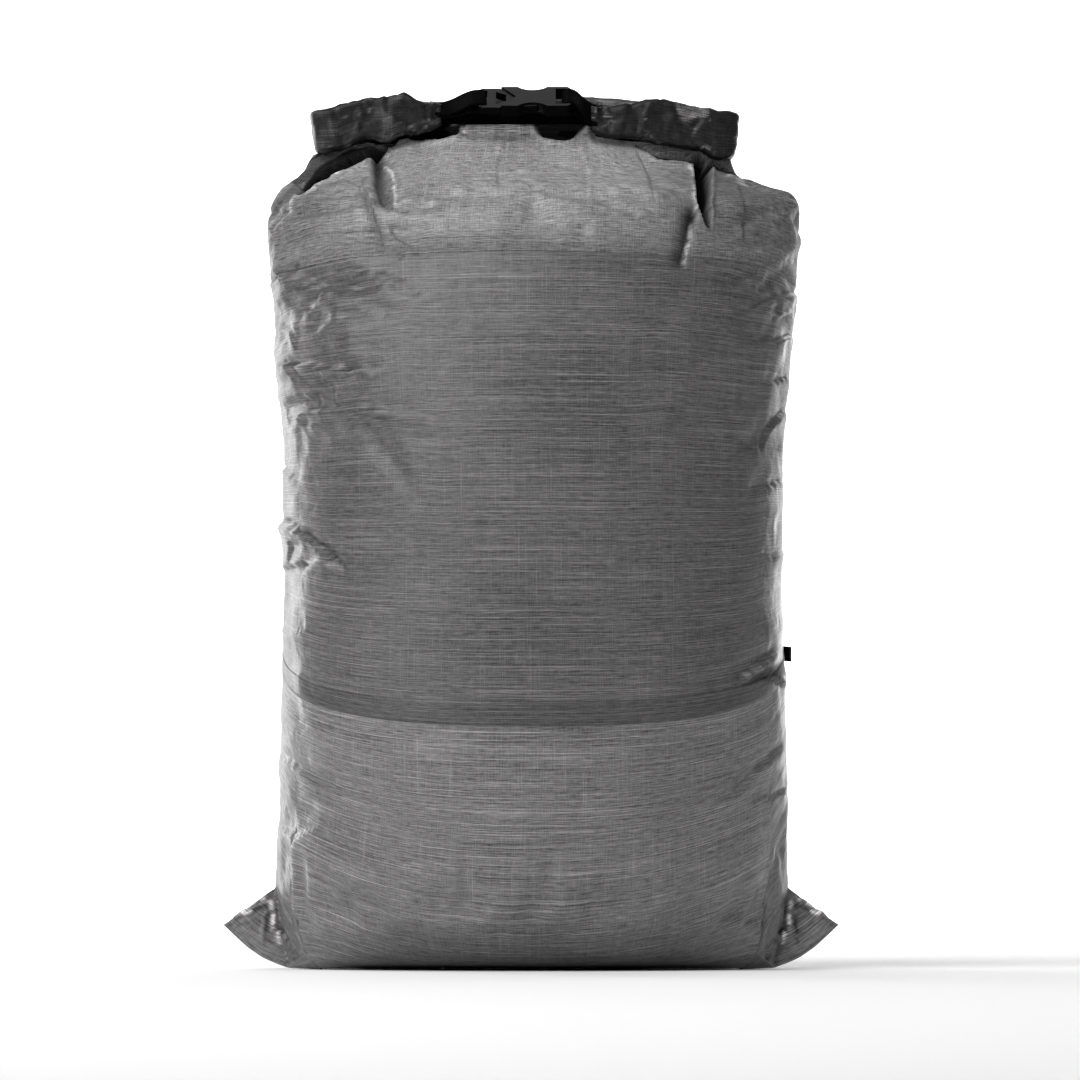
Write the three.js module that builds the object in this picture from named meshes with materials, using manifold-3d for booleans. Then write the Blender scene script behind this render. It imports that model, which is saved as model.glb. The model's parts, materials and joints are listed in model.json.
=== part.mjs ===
// A roll-top dry bag, rolled, buckled and standing upright on its base.
// Millimetres, +Z up, the front faces -Y. The origin is on the ground under the middle of the bag.
import * as THREE from 'three';
import { mergeVertices } from 'three/addons/utils/BufferGeometryUtils.js';
import Module from 'manifold-3d';

const wasm = await Module();
wasm.setup();

// General
const GAP = 0.3; // clearance between pieces that touch
const DEGREE = Math.PI / 180;

// Bag body: stations up its height, each [height, half width, half depth, squareness of section].
const STATIONS = [
  [0, 104, 45, 1.9],
  [6, 112, 63, 1.9],
  [20, 117, 76, 1.95],
  [42, 119.5, 83.5, 2.0],
  [75, 118, 87.5, 2.05],
  [190, 116.5, 88.5, 2.1],
  [240, 117.5, 87, 2.1],
  [280, 120.5, 82, 2.1],
  [315, 123.5, 71, 2.1],
  [342, 125, 57, 2.1],
  [356, 123, 43, 2.1],
  [364, 116, 30, 2.1],
  [370, 106, 14, 2.1],
  [375, 99, 1.7, 2.2],
];
const FABRIC = 0.8; // panel thickness, as modelled
const COLLAR_EDGE = 375; // where the collar panels go up into the roll
const BODY_COLUMNS = 20; // facets across one side of the bag
const BASE_DROPS = [1, 0.8, 0.6, 0.42, 0.27, 0.15, 0.06, 0.02]; // rows down the base, as shares of its height

// Seams between the three courses of fabric
const GIRTH_SEAM = { middle: 117, rise: 27 }; // low in the middle, higher at the side seams
const COLLAR_SEAM = { middle: 333, rise: -12 }; // high in the middle, lower at the side seams
const SEAM_CURVE = 2.5;
const LAP_TAPE = { width: 11, thickness: 0.5, lift: 0.9 };
const SIDE_TAPE = { width: 16, thickness: 0.4, depth: 1.3, low: 14, high: 352 };
const BOTTOM_TAPE = { length: 176, width: 14, thickness: 0.4 };

// Rolled collar: an arched flat roll, with the last of the collar hanging below it as a thin web
const ROLL = { left: -92, right: 86, height: 21, depth: 10, middle: 394.5 };
const ROLL_HALF_LENGTH = 90;
const ROLL_ARCH = 3.4; // how far the ends lie below the middle
const ROLL_SLANT = -1.4; // how much further the right end drops
const ROLL_STEPS = 12;
const WEB = { depth: 2.4, low: 376.2 };
const HEM_WEBBING = { left: -88, right: 82, height: 19, depth: 1.2 };

// Ends of the roll, folded forward. Each station is [distance along the flap, height, depth, centre z].
const FLAP_Y = -11.2; // middle plane of a flap
const FOLD_RADIUS = 5.35; // of the fold's middle line
const FOLD_STEPS = 8;
const FLAP_SECTION = [
  [-1, -0.6], [-0.6, -1], [0.6, -1], [1, -0.6],
  [1, 0.6], [0.6, 1], [-0.6, 1], [-1, 0.6],
];
const LEFT_FLAP = {
  side: -1,
  fold: 92.4,
  stations: [[0, 10.5, 5, 400.5], [24, 18, 8, 396.5], [50.4, 19, 8.5, 391.5], [68, 20, 8.5, 391.5]],
};
const RIGHT_FLAP = {
  side: 1,
  fold: 86.4,
  stations: [[0, 11, 5, 400], [22, 18, 8, 396], [58.4, 18.5, 8.5, 389], [76, 19, 8.5, 389.5]],
};

// Buckle, in its own frame: length along x, width along y, thickness along z
const BUCKLE_AT = [-3, -14, 404.8];
const BUCKLE_TILT = 33 * DEGREE;
const BUCKLE = { half: 21.5, halfWidth: 10, thickness: 5.5, frame: 3.6, bar: 2 };
const ARROW = { shoulder: -11.3, tip: -4.3 }; // outline where the plug meets the socket
const CAVITY = { deep: 9, halfWidth: 8, height: 3.5 };
const WAIST = { halfWidth: 6.6, start: -3.2, end: 10.6, steps: 8 };
const SLOT_HALF = 7.8; // half length of the webbing slots
const SOCKET_SLOT = 5;
const PLUG_SLOT = 2.05;
const PLUG_WINDOW = { wide: -13.4, narrow: -8.6, wideHalf: 6.4, narrowHalf: 3.2 };
const CORNER = 1.5; // cut off each outer corner
const THROUGH = 9; // half height of a cut that goes right through
const TONGUE = { end: 6.5, halfWidth: 2, thickness: 2.9 };
const PRONG = { root: -7.5, end: 6.6, inner: 5.2, outer: 7.6, thickness: 2.9 };

// Webbing
const STRAP = { width: 15, thickness: 1 };
const LEFT_STRAP = { flap: -38.4, bar: -20.5, radius: 1.75 };
const RIGHT_STRAP = { flap: 30.6, bar: 20.5, radius: 2.15 };
const BARTACK = { length: 2.6, height: 8.6, thickness: 0.9, inset: 4, lift: 0.9 };

// Corner ears and the side tab
const EAR = { top: [121.5, 38], tip: [143.5, 20.6], low: [115, 1.2], thickness: 2.4 };
const TAB = { root: 119.4, reach: 2.4, low: 143.5, high: 150.5, thickness: 1.6 };
const TAB_BARTACK = { start: 0.6, end: 1.8, thickness: 0.5, margin: 0.8 };

const LOOKS = {
  fabric: { color: 0x8d9196, roughness: 0.42, metalness: 0 },
  collarFabric: { color: 0x55585c, roughness: 0.45, metalness: 0 },
  tape: { color: 0x6b6f74, roughness: 0.5, metalness: 0 },
  webbing: { color: 0x17181a, roughness: 0.85, metalness: 0 },
  thread: { color: 0x1e1f21, roughness: 0.8, metalness: 0 },
  plastic: { color: 0x232427, roughness: 0.5, metalness: 0 },
};

// ---------------------------------------------------------------- solids

// Welds a geometry's corners and leaves out triangles that have shrunk to a line.
function weld(geometry) {
  geometry.deleteAttribute('normal');
  geometry.deleteAttribute('uv');
  const merged = mergeVertices(geometry, 1e-4);
  const index = Array.from(merged.index.array);
  const kept = [];
  for (let i = 0; i < index.length; i += 3) {
    const [a, b, c] = index.slice(i, i + 3);
    if (a !== b && b !== c && c !== a) kept.push(a, b, c);
  }
  merged.setIndex(kept);
  return merged;
}

function volumeOf(geometry) {
  const corners = geometry.attributes.position;
  const index = geometry.index.array;
  const [a, b, c] = [new THREE.Vector3(), new THREE.Vector3(), new THREE.Vector3()];
  let volume = 0;
  for (let i = 0; i < index.length; i += 3) {
    a.fromBufferAttribute(corners, index[i]);
    b.fromBufferAttribute(corners, index[i + 1]);
    c.fromBufferAttribute(corners, index[i + 2]);
    volume += a.dot(b.cross(c)) / 6;
  }
  return volume;
}

// A closed body from corners and triangles, turned to face outwards.
function closedBody(corners, triangles) {
  const geometry = new THREE.BufferGeometry();
  geometry.setAttribute('position', new THREE.Float32BufferAttribute(corners.flat(), 3));
  geometry.setIndex(triangles.flat());
  const body = weld(geometry);
  if (volumeOf(body) < 0) body.index.array.reverse();
  return body;
}

function grid(columns, rows, at) {
  const triangles = [];
  for (let j = 0; j < rows; j += 1) {
    for (let i = 0; i < columns; i += 1) {
      triangles.push([at(i, j), at(i + 1, j), at(i + 1, j + 1)]);
      triangles.push([at(i, j), at(i + 1, j + 1), at(i, j + 1)]);
    }
  }
  return triangles;
}

// A sheet of cloth with two faces. place(u, v, face) gives a corner on face 0 or face 1.
function sheet(place, columns, rows) {
  const corners = [];
  for (const face of [0, 1]) {
    for (let j = 0; j <= rows; j += 1) {
      for (let i = 0; i <= columns; i += 1) corners.push(place(i / columns, j / rows, face));
    }
  }
  const at = (face, i, j) => (face * (rows + 1) + j) * (columns + 1) + i;
  const edge = (steps, path) => grid(steps, 1, (i, face) => at(face, ...path(i)));
  return closedBody(corners, [
    ...grid(columns, rows, (i, j) => at(1, i, j)),
    ...grid(columns, rows, (i, j) => at(0, columns - i, j)),
    ...edge(columns, (i) => [i, 0]),
    ...edge(columns, (i) => [columns - i, rows]),
    ...edge(rows, (j) => [columns, j]),
    ...edge(rows, (j) => [0, rows - j]),
  ]);
}

// A body through a row of rings with the same number of corners, closed at its middle at each end.
function loft(rings) {
  const mean = (ring, axis) => ring.reduce((sum, corner) => sum + corner[axis], 0) / ring.length;
  const middle = (ring) => ring[0].map((_, axis) => mean(ring, axis));
  const pole = (ring) => ring.map(() => middle(ring));
  const all = [pole(rings[0]), ...rings, pole(rings.at(-1))];
  const columns = rings[0].length;
  return closedBody(all.flat(), grid(columns, all.length - 1, (i, j) => j * columns + (i % columns)));
}

function toManifold(geometry) {
  const body = weld(geometry);
  const vertProperties = new Float32Array(body.attributes.position.array);
  const triVerts = new Uint32Array(body.index.array);
  return new wasm.Manifold(new wasm.Mesh({ numProp: 3, vertProperties, triVerts }));
}

function toGeometry(manifold) {
  const { vertProperties, triVerts } = manifold.getMesh();
  const geometry = new THREE.BufferGeometry();
  geometry.setAttribute('position', new THREE.Float32BufferAttribute(vertProperties, 3));
  geometry.setIndex(Array.from(triVerts));
  return geometry;
}

function box(low, high) {
  const size = high.map((value, axis) => value - low[axis]);
  const middle = high.map((value, axis) => (value + low[axis]) / 2);
  return new THREE.BoxGeometry(...size).translate(...middle);
}

// A flat outline in x and y, made into a plate that lies evenly about z = 0.
function plate(outline, thickness) {
  const settings = { depth: thickness, bevelEnabled: false, curveSegments: 8 };
  return new THREE.ExtrudeGeometry(outline, settings).translate(0, 0, -thickness / 2);
}

// ---------------------------------------------------------------- bag body

const bodyProfile = new THREE.CubicInterpolant(
  STATIONS.map((station) => station[0]),
  STATIONS.flatMap((station) => station.slice(1)),
  3,
);

// A corner on the bag at an angle round it and a height, moved outwards by lift.
function bodyPoint(angle, z, lift = 0) {
  const [halfWidth, halfDepth, squareness] = Array.from(bodyProfile.evaluate(z));
  const curve = (value) => Math.sign(value) * Math.abs(value) ** (2 / squareness);
  const x = (halfWidth + lift) * curve(Math.cos(angle));
  const y = (halfDepth + lift) * curve(Math.sin(angle));
  return [x, y, z];
}

const seamHeight = (seam, angle) => seam.middle + seam.rise * Math.abs(Math.cos(angle)) ** SEAM_CURVE;

// One side of a course of fabric, between two height functions. side is -1 in front, 1 behind.
function coursePanel(side, low, high, rows) {
  return sheet((u, v, face) => {
    const angle = side < 0 ? Math.PI * (u - 1) : Math.PI * u;
    const z = THREE.MathUtils.lerp(low(angle) + GAP / 2, high(angle) - GAP / 2, v);
    const [x, y] = bodyPoint(angle, z, -face * FABRIC);
    return [x, y + side * (GAP / 2), z];
  }, BODY_COLUMNS, rows);
}

function middlePanel(side) {
  const low = (angle) => seamHeight(GIRTH_SEAM, angle);
  const high = (angle) => seamHeight(COLLAR_SEAM, angle);
  return coursePanel(side, low, high, 7);
}

function collarPanel(side) {
  const low = (angle) => seamHeight(COLLAR_SEAM, angle);
  return coursePanel(side, low, () => COLLAR_EDGE, 8);
}

// The base course: a cup that goes from the girth seam down the sides and across the flat floor.
function basePanel() {
  const columns = 2 * BODY_COLUMNS;
  const angles = Array.from({ length: columns }, (_, i) => (2 * Math.PI * i) / columns);
  const wall = (lift, floor) => BASE_DROPS.map((drop) => angles.map((angle) => {
    const top = seamHeight(GIRTH_SEAM, angle) - GAP / 2;
    return bodyPoint(angle, floor + (top - floor) * drop, lift);
  }));
  const flat = (lift, z) => [1, 0.5].map((share) => angles.map((angle) => {
    const [x, y] = bodyPoint(angle, 0, lift);
    return [x * share, y * share, z];
  }));
  const outside = [...wall(0, 0), ...flat(0, 0)];
  const inside = [...wall(-FABRIC, FABRIC), ...flat(-FABRIC, FABRIC)];
  return loft([...outside.reverse(), ...inside]);
}

// A tape bonded round the outside of the bag over a lap seam.
function lapTape(seam) {
  const columns = 2 * BODY_COLUMNS;
  const corners = [[-0.5, 0], [0.5, 0], [0.5, 1], [-0.5, 1]];
  const rings = Array.from({ length: columns + 1 }, (_, i) => corners.map(([across, out]) => {
    const angle = (2 * Math.PI * i) / columns;
    const z = seamHeight(seam, angle) + across * LAP_TAPE.width;
    return bodyPoint(angle, z, LAP_TAPE.lift + out * LAP_TAPE.thickness);
  }));
  return closedBody(rings.flat(), grid(4, columns, (i, j) => j * 4 + (i % 4)));
}

// A tape bonded inside the bag, up one side seam. side is -1 at the left, 1 at the right.
function sideTape(side) {
  return sheet((u, v, face) => {
    const z = THREE.MathUtils.lerp(SIDE_TAPE.low, SIDE_TAPE.high, v);
    const [halfWidth, halfDepth, squareness] = Array.from(bodyProfile.evaluate(z));
    const inset = FABRIC + SIDE_TAPE.depth + face * SIDE_TAPE.thickness;
    const y = (u - 0.5) * SIDE_TAPE.width;
    const round = (1 - Math.abs(y / halfDepth) ** squareness) ** (1 / squareness);
    return [side * (halfWidth * round - inset), y, z];
  }, 4, 16);
}

function bottomTape() {
  const { length, width, thickness } = BOTTOM_TAPE;
  const z = FABRIC + GAP;
  return box([-length / 2, -width / 2, z], [length / 2, width / 2, z + thickness]);
}

// ---------------------------------------------------------------- rolled collar

function rollMiddle(x) {
  const share = x / ROLL_HALF_LENGTH;
  return ROLL.middle - ROLL_ARCH * share ** 2 + ROLL_SLANT * share;
}

// The roll's section, with the collar's web hanging from it.
function rollSection(x) {
  const middle = rollMiddle(x);
  const halfHeight = ROLL.height / 2;
  const halfDepth = ROLL.depth / 2;
  const front = [
    [WEB.depth / 2, WEB.low - middle],
    [WEB.depth / 2, -halfHeight],
    [halfDepth * 0.75, -halfHeight],
    [halfDepth, -halfHeight * 0.7],
    [halfDepth, halfHeight * 0.7],
    [halfDepth * 0.6, halfHeight],
  ];
  const back = front.map(([y, z]) => [-y, z]).reverse();
  return [...front, ...back].map(([y, z]) => [x, y, middle + z]);
}

function rolledCollar() {
  const at = (share) => THREE.MathUtils.lerp(ROLL.left, ROLL.right, share);
  return loft(Array.from({ length: ROLL_STEPS + 1 }, (_, i) => rollSection(at(i / ROLL_STEPS))));
}

// The black webbing sewn along the collar's lip, on the front of the roll.
function hemWebbing() {
  const face = -ROLL.depth / 2 - GAP;
  return sheet((u, v, side) => {
    const x = THREE.MathUtils.lerp(HEM_WEBBING.left, HEM_WEBBING.right, u);
    return [x, face - side * HEM_WEBBING.depth, rollMiddle(x) + (v - 0.5) * HEM_WEBBING.height];
  }, ROLL_STEPS, 1);
}

// One end of the roll: a flap in front of the roll that turns back round the fold to meet it.
function rollEnd({ side, fold, stations }) {
  const profile = new THREE.CubicInterpolant(
    stations.map((station) => station[0]),
    stations.flatMap((station) => station.slice(1)),
    3,
  );
  const straight = stations[2][0];
  const turn = stations[3][0] - straight;
  const ring = (along) => {
    const [height, depth, z] = Array.from(profile.evaluate(along));
    const bend = Math.max(0, (along - straight) / turn) * Math.PI;
    const x = fold + Math.min(0, along - straight);
    const out = [Math.sin(bend), -Math.cos(bend)];
    return FLAP_SECTION.map(([across, up]) => {
      const radius = FOLD_RADIUS + (across * depth) / 2;
      const y = FLAP_Y + FOLD_RADIUS + out[1] * radius;
      return [side * (x + out[0] * radius), y, z + (up * height) / 2];
    });
  };
  const straightRings = [0, 8, 16, 24, 34, 44].map(ring);
  const turnAt = (i) => straight + (turn * i) / FOLD_STEPS;
  const turnRings = Array.from({ length: FOLD_STEPS + 1 }, (_, i) => ring(turnAt(i)));
  return loft([...straightRings, ...turnRings]);
}

function bartack(flap) {
  const [, , depth, z] = flap.stations[0];
  const inner = flap.fold - flap.stations[2][0] + BARTACK.inset;
  const x = flap.side * inner;
  const face = FLAP_Y - depth / 2 - BARTACK.lift;
  const half = [BARTACK.length / 2, BARTACK.height / 2];
  return box([x - half[0], face - BARTACK.thickness, z - half[1]], [x + half[0], face, z + half[1]]);
}

// ---------------------------------------------------------------- buckle

// Makes an outline from one edge and its mirror image across the x axis.
function mirroredOutline(edge) {
  const shape = new THREE.Shape(edge.map(([x, y]) => new THREE.Vector2(x, y)));
  [...edge].reverse().forEach(([x, y]) => shape.lineTo(x, -y));
  return shape;
}

// The cuts above and below a webbing bar that leave it as thick as it is wide.
function thinBar(low, high) {
  const half = BUCKLE.bar / 2;
  return [
    box([low, -SLOT_HALF, half], [high, SLOT_HALF, THROUGH]),
    box([low, -SLOT_HALF, -THROUGH], [high, SLOT_HALF, -half]),
  ];
}

function cutFrom(body, cuts) {
  return toGeometry(cuts.map(toManifold).reduce((rest, cut) => rest.subtract(cut), body));
}

// The socket: two plates joined by side walls at the mouth and by the tail, with an open waist.
function buckleSocket() {
  const { half, halfWidth, thickness, bar } = BUCKLE;
  const waistEdge = Array.from({ length: WAIST.steps + 1 }, (_, i) => {
    const share = i / WAIST.steps;
    const x = THREE.MathUtils.lerp(WAIST.start, WAIST.end, share);
    const dip = Math.sin(Math.PI * share) ** 0.7;
    return [x, halfWidth - (halfWidth - WAIST.halfWidth) * dip];
  });
  const mouth = [ARROW.tip + GAP, 0.01];
  const outline = mirroredOutline([
    mouth,
    [ARROW.shoulder + GAP, halfWidth],
    ...waistEdge,
    [half - CORNER, halfWidth],
    [half, halfWidth - CORNER],
  ]);
  const slot = box([half - bar - SOCKET_SLOT, -SLOT_HALF, -THROUGH], [half - bar, SLOT_HALF, THROUGH]);
  const cavityHigh = [CAVITY.deep, CAVITY.halfWidth, CAVITY.height / 2];
  const cavity = box([-half, -CAVITY.halfWidth, -CAVITY.height / 2], cavityHigh);
  const thin = thinBar(half - bar - 1, half + 1);
  return cutFrom(toManifold(plate(outline, thickness)), [slot, cavity, ...thin]);
}

// The plug: a frame for the webbing with an arrow-shaped front edge and a guide tongue.
function bucklePlug() {
  const { half, halfWidth, frame, bar } = BUCKLE;
  const outline = mirroredOutline([
    [-half, halfWidth - CORNER], [-half + CORNER, halfWidth], [ARROW.shoulder, halfWidth], [ARROW.tip, 0.01],
  ]);
  const { end, halfWidth: tongueHalf, thickness } = TONGUE;
  const tongue = box([PLUG_WINDOW.narrow + GAP, -tongueHalf, -thickness / 2], [end, tongueHalf, thickness / 2]);
  const slot = box([-half + bar, -SLOT_HALF, -THROUGH], [-half + bar + PLUG_SLOT, SLOT_HALF, THROUGH]);
  const { wide, narrow, wideHalf, narrowHalf } = PLUG_WINDOW;
  const window = plate(mirroredOutline([[wide, wideHalf], [narrow, narrowHalf]]), 2 * THROUGH);
  const thin = thinBar(-half - 1, -half + bar + 1);
  const whole = toManifold(plate(outline, frame)).add(toManifold(tongue));
  return cutFrom(whole, [slot, window, ...thin]);
}

// One springy side arm of the plug, which shows at the socket's waist. side is -1 in front, 1 behind.
function buckleProng(side) {
  const { root, end, inner, outer, thickness } = PRONG;
  const arm = new THREE.Shape([
    new THREE.Vector2(root, inner),
    new THREE.Vector2(end - 1, inner),
    new THREE.Vector2(end, inner + 0.8),
    new THREE.Vector2(end - 0.6, outer - 0.5),
    new THREE.Vector2(end - 2.2, outer),
    new THREE.Vector2(end - 7, outer),
    new THREE.Vector2(end - 9, outer - 0.6),
    new THREE.Vector2(root, outer - 0.6),
  ]);
  const geometry = plate(arm, thickness);
  return side > 0 ? geometry : geometry.rotateX(Math.PI);
}

// Webbing folded double round a buckle bar. Its two layers run back to a flap.
function strap({ flap, bar, radius }) {
  const { width, thickness } = STRAP;
  const towards = Math.sign(bar - flap);
  const shape = new THREE.Shape();
  const start = towards > 0 ? [-Math.PI / 2, Math.PI / 2] : [-Math.PI / 2, -1.5 * Math.PI];
  shape.moveTo(flap, -radius - thickness);
  shape.lineTo(bar, -radius - thickness);
  shape.absarc(bar, 0, radius + thickness, start[0], start[1], towards < 0);
  shape.lineTo(flap, radius + thickness);
  shape.lineTo(flap, radius);
  shape.lineTo(bar, radius);
  shape.absarc(bar, 0, radius, start[1], start[0], towards > 0);
  shape.lineTo(flap, -radius);
  return plate(shape, width).rotateX(Math.PI / 2);
}

// ---------------------------------------------------------------- small fabric pieces

// A bottom corner of the bag that stands out to the side as a flat ear.
function ear(side) {
  const shape = new THREE.Shape([EAR.low, EAR.tip, EAR.top].map(([x, z]) => new THREE.Vector2(side * x, z)));
  return plate(shape, EAR.thickness).rotateX(Math.PI / 2);
}

function sideTab() {
  const { root, reach, low, high, thickness } = TAB;
  return box([root, -thickness / 2, low], [root + reach, thickness / 2, high]);
}

function sideTabBartack() {
  const { root, low, high, thickness } = TAB;
  const face = -thickness / 2 - GAP;
  const stitches = TAB_BARTACK;
  return box(
    [root + stitches.start, face - stitches.thickness, low + stitches.margin],
    [root + stitches.end, face, high - stitches.margin],
  );
}

// ---------------------------------------------------------------- assembly

function piece(name, geometry, look) {
  const mesh = new THREE.Mesh(geometry, new THREE.MeshStandardMaterial(LOOKS[look]));
  mesh.name = name;
  return mesh;
}

const buckle = new THREE.Group();
buckle.position.set(...BUCKLE_AT);
buckle.rotation.x = BUCKLE_TILT;
buckle.add(
  piece('buckle_female', buckleSocket(), 'plastic'),
  piece('buckle_male', bucklePlug(), 'plastic'),
  piece('prong_front', buckleProng(-1), 'plastic'),
  piece('prong_rear', buckleProng(1), 'plastic'),
  piece('left_webbing', strap(LEFT_STRAP), 'webbing'),
  piece('right_webbing', strap(RIGHT_STRAP), 'webbing'),
);

const bag = new THREE.Group();
bag.add(
  piece('base_panel', basePanel(), 'fabric'),
  piece('front_panel', middlePanel(-1), 'fabric'),
  piece('back_panel', middlePanel(1), 'fabric'),
  piece('front_collar_panel', collarPanel(-1), 'fabric'),
  piece('back_collar_panel', collarPanel(1), 'fabric'),
  piece('girth_seam_tape', lapTape(GIRTH_SEAM), 'tape'),
  piece('collar_seam_tape', lapTape(COLLAR_SEAM), 'tape'),
  piece('left_side_seam_tape', sideTape(-1), 'tape'),
  piece('right_side_seam_tape', sideTape(1), 'tape'),
  piece('bottom_seam_tape', bottomTape(), 'tape'),
  piece('rolled_collar', rolledCollar(), 'collarFabric'),
  piece('hem_webbing', hemWebbing(), 'webbing'),
  piece('left_roll_end', rollEnd(LEFT_FLAP), 'collarFabric'),
  piece('right_roll_end', rollEnd(RIGHT_FLAP), 'collarFabric'),
  piece('left_bartack', bartack(LEFT_FLAP), 'thread'),
  piece('right_bartack', bartack(RIGHT_FLAP), 'thread'),
  piece('left_ear', ear(-1), 'fabric'),
  piece('right_ear', ear(1), 'fabric'),
  piece('side_tab', sideTab(), 'webbing'),
  piece('side_tab_bartack', sideTabBartack(), 'thread'),
  buckle,
);

export default bag;
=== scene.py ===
"""A roll-top dry bag of grey film fabric, rolled shut, buckled and standing upright on a pale floor.

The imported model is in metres: +Z up, and the front faces -Y. Shapes are worked out in millimetres in that
frame and become metres in add_mesh. A point on the fabric also has two fabric coordinates: girth runs round
the bag from the left side seam across the front, and rise runs up from the bottom seam.
"""
import json
import math

import bmesh
import bpy
import numpy as np
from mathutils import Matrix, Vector

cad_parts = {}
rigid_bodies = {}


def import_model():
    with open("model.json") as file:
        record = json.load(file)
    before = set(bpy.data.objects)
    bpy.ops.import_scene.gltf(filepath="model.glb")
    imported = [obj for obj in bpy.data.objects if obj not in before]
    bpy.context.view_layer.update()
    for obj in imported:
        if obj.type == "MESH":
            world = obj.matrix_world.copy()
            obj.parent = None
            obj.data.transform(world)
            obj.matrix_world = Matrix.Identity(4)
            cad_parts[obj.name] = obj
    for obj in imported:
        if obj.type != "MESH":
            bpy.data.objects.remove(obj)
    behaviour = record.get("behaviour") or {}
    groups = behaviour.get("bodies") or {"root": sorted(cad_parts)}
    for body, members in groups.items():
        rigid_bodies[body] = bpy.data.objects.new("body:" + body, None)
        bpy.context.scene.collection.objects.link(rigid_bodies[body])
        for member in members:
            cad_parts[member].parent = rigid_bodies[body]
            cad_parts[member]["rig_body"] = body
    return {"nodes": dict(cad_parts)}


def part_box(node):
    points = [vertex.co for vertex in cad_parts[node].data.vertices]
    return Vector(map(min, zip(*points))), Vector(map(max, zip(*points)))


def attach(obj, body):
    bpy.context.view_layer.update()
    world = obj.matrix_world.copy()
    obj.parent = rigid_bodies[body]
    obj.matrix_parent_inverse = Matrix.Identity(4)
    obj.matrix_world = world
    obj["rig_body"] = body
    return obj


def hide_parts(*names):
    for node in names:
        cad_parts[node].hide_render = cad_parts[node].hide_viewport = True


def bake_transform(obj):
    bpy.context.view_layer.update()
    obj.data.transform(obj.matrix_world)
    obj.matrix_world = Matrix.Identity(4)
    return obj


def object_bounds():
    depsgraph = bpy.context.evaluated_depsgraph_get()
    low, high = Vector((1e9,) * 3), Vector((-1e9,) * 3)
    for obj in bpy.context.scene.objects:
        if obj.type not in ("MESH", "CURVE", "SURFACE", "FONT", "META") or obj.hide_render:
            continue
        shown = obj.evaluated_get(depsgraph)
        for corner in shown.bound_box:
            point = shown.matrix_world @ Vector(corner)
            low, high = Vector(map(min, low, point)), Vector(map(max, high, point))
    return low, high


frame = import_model()
cad_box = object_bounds()

MM = 0.001
VIEW_WIDTH = 0.5047
CAMERA_DISTANCE = 3.0
CAMERA_HEIGHT = 0.05
AIM_RIGHT = 0.0042
AIM_BELOW_MIDDLE = 0.006
FILM_THICKNESS = 0.4
TAPE_THICKNESS = 0.2
STRAP_WIDTH = 15.0
STRAP_THICKNESS = 1.1
HEM_WIDTH = 18.0
HEM_THICKNESS = 1.2
TAB_THICKNESS = 0.6
GREY = {
    "body": (0.09, 0.0872, 0.0885),
    "collar": (0.19, 0.1865, 0.187),
    "base": (0.146, 0.1425, 0.144),
    "tape": (0.063, 0.061, 0.062),
    # The folded ends are near-black partly from their many layers of film and partly as painted shade, as
    # they face a little down; the roll's middle is lighter partly as painted light where its top catches the
    # light from above.
    "roll": (0.06, 0.0585, 0.0595),
    "flap": (0.0088, 0.0085, 0.0086),
    "webbing": (0.0014, 0.0014, 0.00145),
    "thread": (0.008, 0.008, 0.008),
    "plastic": (0.0115, 0.0115, 0.0118),
}


# ------------------------------------------------------------------ camera, floor and lights

def make_camera():
    low, high = cad_box
    aim = Vector((AIM_RIGHT, 0.0, (low.z + high.z) / 2 - AIM_BELOW_MIDDLE))
    data = bpy.data.cameras.new("camera")
    data.sensor_width = 36.0
    data.lens = data.sensor_width * CAMERA_DISTANCE / VIEW_WIDTH
    data.clip_end = 50.0
    camera = bpy.data.objects.new("camera", data)
    bpy.context.scene.collection.objects.link(camera)
    camera.location = Vector((aim.x, -CAMERA_DISTANCE, CAMERA_HEIGHT))
    camera.rotation_euler = (aim - camera.location).to_track_quat("-Z", "Y").to_euler()
    bpy.context.scene.camera = camera
    bpy.context.scene.view_settings.view_transform = "Standard"


def area_light(name, place, aim, size, power):
    data = bpy.data.lights.new(name, "AREA")
    data.shape = "RECTANGLE"
    data.size, data.size_y = size
    data.energy = power
    light = bpy.data.objects.new(name, data)
    bpy.context.scene.collection.objects.link(light)
    light.location = place
    light.rotation_euler = (Vector(aim) - Vector(place)).to_track_quat("-Z", "Y").to_euler()


def make_lights():
    area_light("key", (-1.4, -1.7, 1.3), (0, 0, 0.25), (1.7, 1.7), 30)
    area_light("left_strip", (-1.1, 1.0, 0.5), (0, 0, 0.22), (0.5, 1.5), 14)
    area_light("right_strip", (0.8, 1.5, 0.5), (0, 0, 0.22), (0.4, 1.4), 5)
    area_light("top", (-0.5, -0.9, 1.7), (0, 0, 0.38), (0.9, 0.7), 12)
    area_light("floor_light", (0, 1.6, 1.6), (0, 2.6, 1.0), (3.0, 0.8), 60)
    area_light("backdrop_light", (0, 2.5, 2.0), (0, 3.4, 0.6), (3.0, 0.8), 70)


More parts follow.
